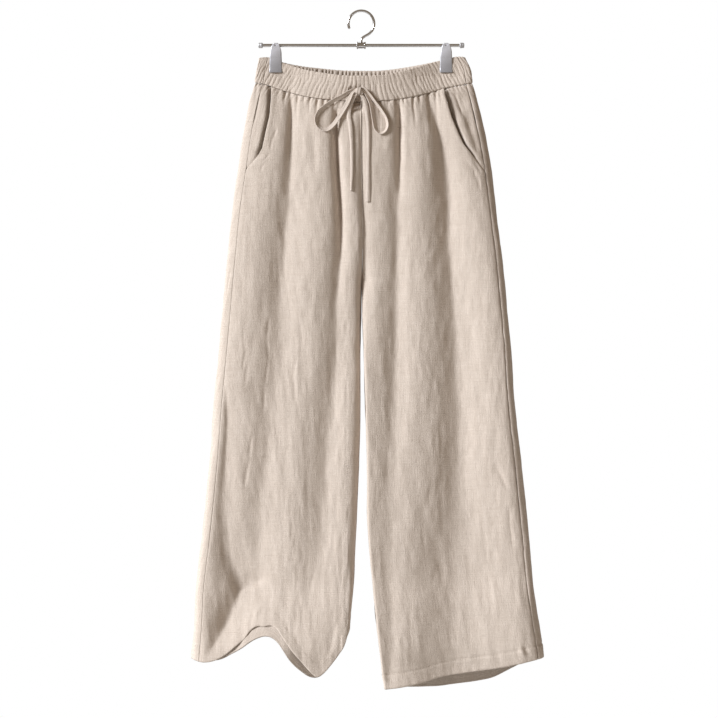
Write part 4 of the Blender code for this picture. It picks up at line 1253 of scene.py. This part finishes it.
def add_facing(side):
    """The hip piece seen outside the pocket's mouth, from under the front panel to the side seam."""

    def mouth_x(drop):
        return line_through(POCKET_EDGE[side], 1, drop)

    def angle_at(drop):
        start = angle_of(side, mouth_x(drop) - SIDES[side] * FACING_TUCK, drop)
        return start + (side_seam_angle(side, drop) - start) * np.linspace(0, 1, FACING_COLUMNS)

    top, foot = edge_curve(WAIST_SEAM, SEAM_GAP / 2), edge_curve(HEM[side])
    shares = row_shares(side, False)
    shares = shares[shares * LEG_LENGTH < POCKET_EDGE[side][-1][0] + FACING_BELOW]
    angle, drop, smooth = grid(side, shares, angle_at, top, foot)
    turn = -SIDES[side]
    smooth[:, -1, 0] += turn * SIDE_GAP[side] / 2
    x, below = smooth[..., 0], drop - top(smooth[..., 0], angle < np.pi)
    beyond = (x - mouth_x(drop)) * SIDES[side]
    dip = 0
    for deep, at, reach, fade in FACING_DIPS[side]:
        dip = dip + deep * hump(drop - at, reach, 4) * fading(beyond, fade, 1.6)
    to_seam = arcs(smooth)[:, -1:] - arcs(smooth)
    relief = FACING_CRUMPLE * crumple(to_seam, drop, FACING_SEED)
    relief = relief * ease(below / 20) * (1 - hump(to_seam, FREE_FROM))
    relief = relief - creases(FACING_CREASES[side], x, drop) - dip * ease((below + 2) / 8)
    relief = relief - SEAM_GROOVE[side] * fading(to_seam, SEAM_LENGTH)
    relief = relief - FACING_TURN_IN * fading(below, TUCK_LENGTH)
    pucker = pleats(girth(side, angle), below + BAND_HEIGHT, PLEAT_SEED[False])
    relief = relief - FACING_PUCKER * (1 - pucker) * fading(below, PUCKER_LENGTH)
    surfaced = FACING_DEPTH * (1 - ease((beyond + 1) / 9))
    at_end = END_DEPTH * (1 - ease((beyond + 1) / 5)) + TUCKED_DEPTH * (1 - ease((beyond + 8) / 6))
    surfaced = surfaced + (at_end - surfaced) * ease((drop - MOUTH_END[side] + 3) / 6)
    near = smooth + normals_of(smooth, turn) * (relief - surfaced)[..., None]
    far = near - normals_of(near, turn) * SHELL
    uv = np.stack([FACING_UV - to_seam, -drop], -1)
    made = add_shell(f"pocket_{side}_facing", near, far, LINEN, uv, flip=side == "left")
    return finished(made, "linen", f"pocket_facing_{side}")


BAND_COLUMNS = 270  # in each half
BAND_PLEAT = 1.15  # height of the waistband's pleats
INSIDE_PLEAT = 2.6  # and of those that show inside the back of it
BAND_LEVELS = 40
BAND_RIB, BAND_SWELL = 0.2, 0.5  # heights of its fine ribs and of its broad unevenness
BAND_ROUND = 1.5  # how far from its edges it is rounded
RIM_WAVE = 0.9  # how far the pleats lift its rim
BAND_TUCK, SIDE_DIP = 0.7, 0.8  # how far it sinks at its foot and at the side seams
CASING_DEPTH, CASING_WIDTH = 0.16, 0.035  # as shares of a pleat's height and of the band's


def band_levels():
    """Shares of the way from the waistband's rim to its foot, closer together where it is rounded."""
    ends = np.array([0, 0.004, 0.014, 0.03])
    return np.concatenate([ends, np.linspace(0.05, 0.95, BAND_LEVELS - 8), 1 - ends[::-1]])


def band_side(side, back):
    """The outer points, the inner points and the UVs of a waistband half, on one side of its middle."""

    def angle_at(drop):
        start = 2 * np.pi if back else 0
        return start + (side_seam_angle(side, drop) - start) * np.linspace(0, 1, BAND_COLUMNS)

    top, foot = edge_curve(WAIST_TOP), edge_curve(WAIST_SEAM, -SEAM_GAP / 2)
    angle, drop, smooth = grid(side, band_levels(), angle_at, top, foot)
    turn = SIDES[side] * (1 if back else -1)
    smooth[:, -1, 0] += turn * GAP / 2
    x, is_front = smooth[..., 0], angle < np.pi
    rim, base = top(x, is_front), foot(x, is_front)
    v, up = drop - rim, base - drop
    free = 1 - clamped(x, v)
    s, seed = girth(side, angle), PLEAT_SEED[back]
    low, high = pleats(s, v, seed), pleats(s + 2.4 * noise(s, 0, 13, 1, seed + 5), v, seed + 3)
    high = 0.45 * low + 0.55 * high
    upper = ease((CASING * (base - rim) - v) / 3 + 0.5)
    pleat = low * (1 - upper) + high * upper
    casing = CASING_DEPTH * hump(v / (base - rim) - CASING, CASING_WIDTH)
    strength = (0.8 + 0.35 * noise(s, v, 22, 30, seed + 9)) * (0.07 + 0.93 * free)
    relief = BAND_PLEAT * strength * (pleat - 0.62 - casing)
    ribs, swell = noise(s, v, 1.5, 13, seed + 8), noise(s, v, 11, 18, seed + 10)
    relief = relief + (BAND_RIB * ribs + BAND_SWELL * swell) * free
    round_to = np.minimum(np.minimum(v, up) / BAND_ROUND, 1)
    half = BAND_CLOTH / 2 * np.sqrt(np.clip(1 - (1 - round_to) ** 2, 0, 1)) + 0.04
    proud = (PROUD - BAND_TUCK * np.exp(-up / 1.6)) * free
    normal = normals_of(smooth, turn)
    dip = SIDE_DIP * hump(s - s[:, -1:], SEAM_LENGTH, 1)
    middle = smooth + normal * (proud - BAND_CLOTH / 2 - dip)[..., None]
    middle[..., 2] += RIM_WAVE * (pleat - 0.6) * np.exp(-v / 2.5) * free
    inner_pleat = np.abs(np.sin(np.pi * (s + 3 * noise(s, 0, 15, 1, 77)) / PLEAT)) ** 0.5
    inside = INSIDE_PLEAT * (0.5 - inner_pleat) * ease(v / 4) * free
    near = middle + normal * (half + relief)[..., None]
    far = middle - normal * (half - inside)[..., None]
    return near, far, np.stack([1.3 * s + BAND_UV[back], -drop], -1)


def add_waistband(back):
    """Half of the gathered waistband, from one side seam to the other."""
    halves = zip(band_side("right", back), band_side("left", back))
    near, far, uv = (np.concatenate([right[:, :0:-1], left], 1) for right, left in halves)
    node = "waistband_back" if back else "waistband_front"
    made = add_shell(f"{node}_half", near, far, LINEN, uv, flip=not back)
    return finished(made, "linen", node)


# ---- stitches

STITCH = 2.7
STITCH_SPACE = 0.9
STITCH_RADIUS = 0.24
STITCH_SIDES = 6
# Shares of a stitch's length and of its radius, and how far it stands out of the cloth, in radii.
STITCH_SHAPE = ((0, 0.25, -0.3), (0.12, 0.8, 0.1), (0.5, 1, 0.35), (0.88, 0.8, 0.1), (1, 0.25, -0.3))
POCKET_TOP = -29  # drop where the pocket's stitches begin


def level_line(points, measure, value):
    """The line on a grid where a measure that falls down each column has a value."""
    line = []
    for column, falling in zip(points.swapaxes(0, 1), measure.T):
        order = np.argsort(falling)
        line.append([np.interp(value, falling[order], column[order, k]) for k in range(3)])
    return np.array(line)


def stitch_mesh(line, normal):
    """Short rounded threads along a line, half sunk in the cloth, as vertices and faces."""
    along = lengths_along(line)
    starts = np.arange(0.5, along[-1] - STITCH, STITCH + STITCH_SPACE)
    ahead_by, thick, sunk = np.array(STITCH_SHAPE).T
    at = starts[:, None] + STITCH * ahead_by

    def at_stitches(values):
        return np.stack([np.interp(at, along, values[:, k]) for k in range(3)], -1)

    centre, up = at_stitches(line), unit(at_stitches(normal))
    side = unit(np.cross(unit(np.gradient(centre, axis=1)), up))
    centre = centre + up * (sunk[:, None] * STITCH_RADIUS)
    points = rings_round(centre, side, up, (STITCH_RADIUS * thick)[:, None, None], STITCH_SIDES)
    one = grid_faces(len(STITCH_SHAPE), STITCH_SIDES, ring=True)
    faces = one + np.arange(len(starts))[:, None, None] * len(STITCH_SHAPE) * STITCH_SIDES
    return points.reshape(-1, 3), faces.reshape(-1, 4)


def add_stitches(name, lines):
    """Rows of stitches along several lines, joined in one piece."""
    vertices, faces, shift = [], [], 0
    for line, normal in lines:
        points, quads = stitch_mesh(line, normal)
        vertices.append(points)
        faces.append(quads + shift)
        shift += len(points)
    vertices = np.concatenate(vertices)
    made = add_object(name, vertices, np.concatenate(faces).tolist(), SEWING, vertices[:, [0, 2]])
    return finished(made, "linen")


def hem_stitches(side):
    panels = [PANELS[side, back] for back in (False, True)]
    lines = [[level_line(p[key], p["above"], STITCH_LEVEL) for key in ("near", "normal")] for p in panels]
    return add_stitches(f"hem_{side}_stitches", lines)


def pocket_stitches(side):
    panel = PANELS[side, False]
    rows = (panel["drop"][:, -1] < MOUTH_END[side]) & (panel["drop"][:, -1] > POCKET_TOP)
    inwards = (panel["arc"][:, -1:] - panel["arc"])[rows].T
    grids = [panel[key][rows].transpose(1, 0, 2) for key in ("near", "normal")]
    line = [level_line(points, inwards, POCKET_STITCH) for points in grids]
    return add_stitches(f"pocket_{side}_stitches", [line])


# ---- the hanger

BAR_DROP = 52.0
BAR_RADIUS = 2.5
BAR_HALF = 153.0
WIRE_RADIUS = 2.0
RAIL_RADIUS = 18.0
HOOK_START, HOOK_END = -50.0, 205.0  # degrees round the hook
HOOK_STEM, HOOK_BEND = 2.0, 5.0  # its straight part, and the length of the bend's handles
HOOK_SUNK = 0.9  # in the socket
SOCKET_RADIUS = 5.5
SOCKET_HALF = 7.0
JAW_THICKNESS = 1.2
SADDLE_INNER = BAR_RADIUS + GAP
SADDLE_OUTER = SADDLE_INNER + 1.2
SADDLE_HALF = 3.6
SADDLE_FOOT = 15.0
SPRING_DROP = 11.0
SPRING_TURNS, SPRING_HALF, SPRING_RADIUS, SPRING_WIRE = 7, 3.1, 1.78, 0.42
# From the bar's end along a cap, and its radius there.
CAP_OUTLINE = (
    (0, 2.9), (0, 3.7), (0.4, 4.1), (1.2, 4.2), (3.8, 4.2), (4, 3.95), (4.4, 3.95), (4.6, 4.2),
    (5.5, 4.1), (6.3, 3.6), (6.8, 2.8), (7, 1.6), (7, 0.3),
)
# From the socket's end inwards, and how far its surface lies under the bead there.
SOCKET_END = ((3.2, 0.9), (2.5, 0.7), (2, 0), (0.5, 0), (0, 0.6))
JAW_REST = PINCHED + 0.4
JAW_TOP = SADDLE_OUTER + GAP
# How far below the bar, the inner face's distance from the middle plane and the half width of a jaw.
JAW_ROWS = (
    (-1.8, JAW_TOP, 6.4), (2, JAW_TOP, 7), (9, JAW_TOP, 8.7), (15, JAW_TOP, 9), (22, JAW_REST + 0.5, 9.3),
    (26, JAW_REST, 9.5), (40.5, JAW_REST, 10), (42.6, JAW_REST + 1, 10),
)
JAW_CROWN, JAW_RIB, RIB_DROP = 0.7, 0.35, 20.5  # its bulge, and its pressed groove's depth and drop
EAR_AT = 0.62  # share of the half width where an ear stands


def swept(path, radius, sides=28):
    """Rings of a round wire along a path in a plane of constant y."""
    ahead = unit(np.gradient(path, axis=0))
    side = unit(np.cross(ahead, (0, 1, 0)))
    return rings_round(path, side, np.cross(side, ahead), radius[:, None, None], sides)


def turned(outline, sides=48):
    """Rings of a body turned about the bar's axis. The outline gives x and radius."""
    x, radius = np.array(outline).T[..., None]
    turns = round_steps(sides)
    return np.stack([x + 0 * turns, radius * np.cos(turns), radius * np.sin(turns) - BAR_DROP], -1)


def rounded_rod(half, radius, round_by):
    """Outline of a rod with rounded ends, along X."""
    x, r, turns = half - round_by, radius - round_by, np.radians(np.linspace(0, 90, 7))
    end = [(x + round_by * math.sin(t), r + round_by * math.cos(t)) for t in turns]
    return [(-x, r) for x, r in end[::-1]] + end


def add_bar():
    bar = add_tube("bar", turned(rounded_rod(BAR_HALF, BAR_RADIUS, 0.8)), CHROME)
    finished(bar, "wire", "hanger_bar")
    start = BAR_HALF + GAP
    for side, turn in SIDES.items():
        outline = [(turn * (start + along), radius) for along, radius in CAP_OUTLINE][::turn]
        finished(add_tube(f"cap_{side}", turned(outline), CAP), "clip", f"hanger_cap_{side}")


def add_socket():
    """The turned sleeve that carries the hook: a body with a bead at each end."""
    half, bore = SOCKET_HALF, BAR_RADIUS + GAP
    end = [(half - inwards, SOCKET_RADIUS - under) for inwards, under in SOCKET_END]
    outline = [(-half, bore), *[(-x, r) for x, r in end[::-1]], (0, SOCKET_RADIUS - 0.7), *end]
    outline += [(half, bore), (-half, bore)]
    fine = np.concatenate([np.linspace(a, b, 4)[:-1] for a, b in zip(outline, outline[1:])])
    rings = turned(fine)
    count, sides = rings.shape[:2]
    first = np.arange(sides)
    last = (count - 1) * sides + first
    closing = np.stack([last, np.roll(last, -1), np.roll(first, -1), first], -1)
    faces = np.concatenate([grid_faces(count, sides, ring=True), closing])
    made = add_object("socket", rings, faces.tolist(), CHROME)
    made.data.set_sharp_from_angle(angle=math.radians(50))
    finished(made, "wire", "hanger_socket")


def add_hook():
    """The hook's wire: a straight stem, a bend out to the side, the arc, and a rounded tip."""

    def on_arc(turn):
        return np.array((radius * math.cos(turn), 0, radius * math.sin(turn) - RAIL_RADIUS))

    radius = RAIL_RADIUS + WIRE_RADIUS
    start = math.radians(HOOK_START)
    foot = np.array((0, 0, SOCKET_RADIUS + GAP - HOOK_SUNK - BAR_DROP))
    bend, join = foot + (0, 0, HOOK_STEM + HOOK_SUNK), on_arc(start)
    along = np.array((-math.sin(start), 0, math.cos(start)))
    handles = (bend, bend + (0, 0, HOOK_BEND), join - along * HOOK_BEND, join)
    path = [foot]
    for t in np.linspace(0, 1, 24):
        weights = ((1 - t) ** 3, 3 * t * (1 - t) ** 2, 3 * t * t * (1 - t), t**3)
        path.append(sum(w * h for w, h in zip(weights, handles)))
    path += [on_arc(turn) for turn in np.radians(np.linspace(HOOK_START, HOOK_END, 90)[1:])]
    path = evenly(np.array(path), 130)
    along = lengths_along(path)
    left = np.clip((along[-1] - along) / WIRE_RADIUS, 0.02, 1)
    wire = WIRE_RADIUS * np.sqrt(np.clip(1 - (1 - left) ** 2, 0, 1))
    rings = swept(np.concatenate([path, path[-1:]]), np.append(wire, 0.1))
    finished(add_tube("hook", rings, CHROME), "wire", "hanger_hook")


def add_jaw(clip, clip_x, facing):
    """A pressed plate: tapered, slightly crowned, rolled at its lower edge, with two ears on top."""
    rows = np.concatenate([np.linspace(-1.8, 2, 7), np.linspace(3.5, 40.5, 30), np.linspace(41, 42.6, 5)])
    across = np.sin(np.linspace(-1, 1, 33) * np.pi / 2)
    drop, column = np.meshgrid(rows, across, indexing="ij")
    distance, half = curve_through(JAW_ROWS, 1, drop), curve_through(JAW_ROWS, 2, drop)
    ears = hump(np.abs(column) - EAR_AT, 0.26, 4)
    drop = drop + 3 * (1 - ears) * ease((3 - drop) / 4.5)
    rim = np.minimum(half * (1 - np.abs(column)), np.minimum(drop + 2.2, 43 - drop))
    thin = 0.5 * (1 - ease(rim / 1.2))
    crown = JAW_CROWN * (1 - column**2) * ease((drop - 4) / 6)
    rib = JAW_RIB * hump(drop - RIB_DROP, 1.2) * (1 - column**6)
    outer, inner = JAW_THICKNESS - thin + crown - rib, thin + 0.3 * crown
    near, far = (
        np.stack([clip_x + half * column, facing * (distance + off), -BAR_DROP - drop], -1)
        for off in (outer, inner)
    )
    where = "front" if facing < 0 else "back"
    made = add_shell(f"{clip}_{where}_plate", near, far, CLIP, flip=facing < 0)
    finished(made, "clip", f"{clip}_{where}_jaw")


def add_saddle(clip, clip_x):
    """The strap over the bar that carries both jaws, with rounded long edges."""
    across = np.linspace(-1, 1, 15)
    edge = 0.45 * np.clip((np.abs(across) - 0.8) / 0.2, 0, 1) ** 2
    down = [(1, 0, z) for z in np.linspace(-SADDLE_FOOT, -0.5, 12)]
    over = [(math.cos(t), math.sin(t), 0) for t in np.radians(np.linspace(0, 180, 33))]
    path = down + over + [(-y, up, z) for y, up, z in down[::-1]]
    y, up, z = np.array(path).T[..., None]
    x = clip_x + SADDLE_HALF * across + 0 * y
    near, far = (
        np.stack([x, r * y, r * up + z - BAR_DROP], -1) for r in (SADDLE_OUTER - edge, SADDLE_INNER + edge)
    )
    made = add_shell(f"{clip}_strap", near, far, CLIP, flip=True)
    finished(made, "clip", f"{clip}_saddle")


def add_spring(clip, clip_x):
    """The coil that shuts the jaws, on its pin under the bar."""
    turns = np.linspace(0, 2 * np.pi * SPRING_TURNS, 20 * SPRING_TURNS)
    x = clip_x + np.linspace(-SPRING_HALF, SPRING_HALF, len(turns))
    pin = np.stack([x, 0 * x, 0 * x - BAR_DROP - SPRING_DROP], -1)
    path = pin + SPRING_RADIUS * np.stack([0 * x, np.cos(turns), np.sin(turns)], -1)
    ahead, outward = unit(np.gradient(path, axis=0)), unit(path - pin)
    rings = rings_round(path, np.cross(ahead, outward), outward, SPRING_WIRE, 10)
    finished(add_tube(f"{clip}_coil", rings, CHROME), "wire", f"{clip}_spring")


def add_hanger():
    add_bar()
    add_socket()
    add_hook()
    for clip, clip_x in CLIPS.items():
        add_jaw(clip, clip_x, -1)
        add_jaw(clip, clip_x, 1)
        add_saddle(clip, clip_x)
        add_spring(clip, clip_x)


# ---- the trousers, declared as cloth

# Each cut piece's flat width and length in metres, and its area in square metres.
CUTS = {
    "front": (0.29, 0.95, 0.240),
    "back": (0.32, 0.96, 0.268),
    "hem": (0.56, 0.026, 0.0135),
    "facing_right": (0.045, 0.14, 0.0045),
    "facing_left": (0.045, 0.14, 0.0050),
    "band": (0.52, 0.042, 0.0215),
}


def declare(made, cut, held, rests_on, pieces=()):
    *flat, area = CUTS[cut]
    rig.sheet(made, flat=tuple(flat), held=held, rests_on=rests_on, area=area, with_pieces=list(pieces))


def add_trousers():
    bands = [add_waistband(back) for back in (False, True)]
    for where, band in zip(("front", "back"), bands):
        declare(band, "band", "gathered", [f"{clip}_{where}_plate" for clip in CLIPS])
    for side in SIDES:
        front = add_panel(f"front_{side}_panel", side, back=False)
        back = add_panel(f"back_{side}_panel", side, back=True)
        declare(front, "front", "hung", [bands[0].name], [hem_stitches(side), pocket_stitches(side)])
        declare(back, "back", "hung", [bands[1].name])
        declare(add_turn_up(side), "hem", "folded", [front.name])
        declare(add_facing(side), f"facing_{side}", "hung", [bands[0].name])


# ---- light and floor

KEY_TURN = 61.0  # degrees to the left of straight in front
KEY_RISE = 20.0
KEY_STRENGTH = 4.2
BACK_TURN = 128.0  # of a weaker light for the back
BACK_STRENGTH = 1.5
KEY_SOFTNESS = 20.0  # degrees across
KEY_COLOUR = (1, 1.035, 1.09)
AMBIENT = (1, 0.81, 0.61)
AMBIENT_STRENGTH = 0.26
LIGHT_AT = (-2.6, -1.5, 0.5)  # in metres, as the floor's sizes are
FLOOR_DROP = 1.62
FLOOR_REACH = 2.6
FLOOR_COLOUR = (0.86, 0.86, 0.85)


def add_light(name, strength, turn):
    """A broad light, a little above, turned about the upright axis from straight in front."""
    data = bpy.data.lights.new(name, "SUN")
    data.energy, data.color, data.angle = strength, KEY_COLOUR, math.radians(KEY_SOFTNESS)
    light = linked(name, data)
    light.location = LIGHT_AT
    light.rotation_euler = (math.radians(90 - KEY_RISE), 0, math.radians(-turn))


def add_world():
    """White behind the trousers, and a dimmer, warmer light from all round on them."""
    world = bpy.data.worlds.new("studio")
    world.use_nodes = True
    tree = world.node_tree
    background = tree.nodes["Background"]
    background.inputs["Color"].default_value = (*AMBIENT, 1)
    background.inputs["Strength"].default_value = AMBIENT_STRENGTH
    backdrop = tree.nodes.new("ShaderNodeBackground")
    backdrop.inputs["Color"].default_value = (1, 1, 1, 1)
    path = tree.nodes.new("ShaderNodeLightPath")
    mix = tree.nodes.new("ShaderNodeMixShader")
    tree.links.new(path.outputs["Is Camera Ray"], mix.inputs[0])
    tree.links.new(background.outputs[0], mix.inputs[1])
    tree.links.new(backdrop.outputs[0], mix.inputs[2])
    tree.links.new(mix.outputs[0], tree.nodes["World Output"].inputs["Surface"])
    bpy.context.scene.world = world


def add_floor():
    made = Nodes("pale_floor")
    made.set(Base_Color=(*FLOOR_COLOUR, 1), Roughness=0.7)
    turns = round_steps(96)
    rim = np.stack([FLOOR_REACH * np.cos(turns), FLOOR_REACH * np.sin(turns), 0 * turns - FLOOR_DROP], -1)
    data = bpy.data.meshes.new("floor")
    data.from_pydata(rim, [], [list(range(len(rim)))])
    data.materials.append(made.material)
    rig.stage(linked("floor", data))


def main():
    add_camera()
    add_cords()
    add_hanger()
    add_trousers()
    add_light("key", KEY_STRENGTH, KEY_TURN)
    add_light("behind", BACK_STRENGTH, BACK_TURN)
    add_world()
    add_floor()
    bpy.context.scene.view_settings.view_transform = "Standard"


main()
sizes = {"cad": [list(c) for c in CAD_BOX], "visual": [list(c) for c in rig.bounds()]}
with open("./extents.json", "w") as size_file:
    json.dump(sizes, size_file)
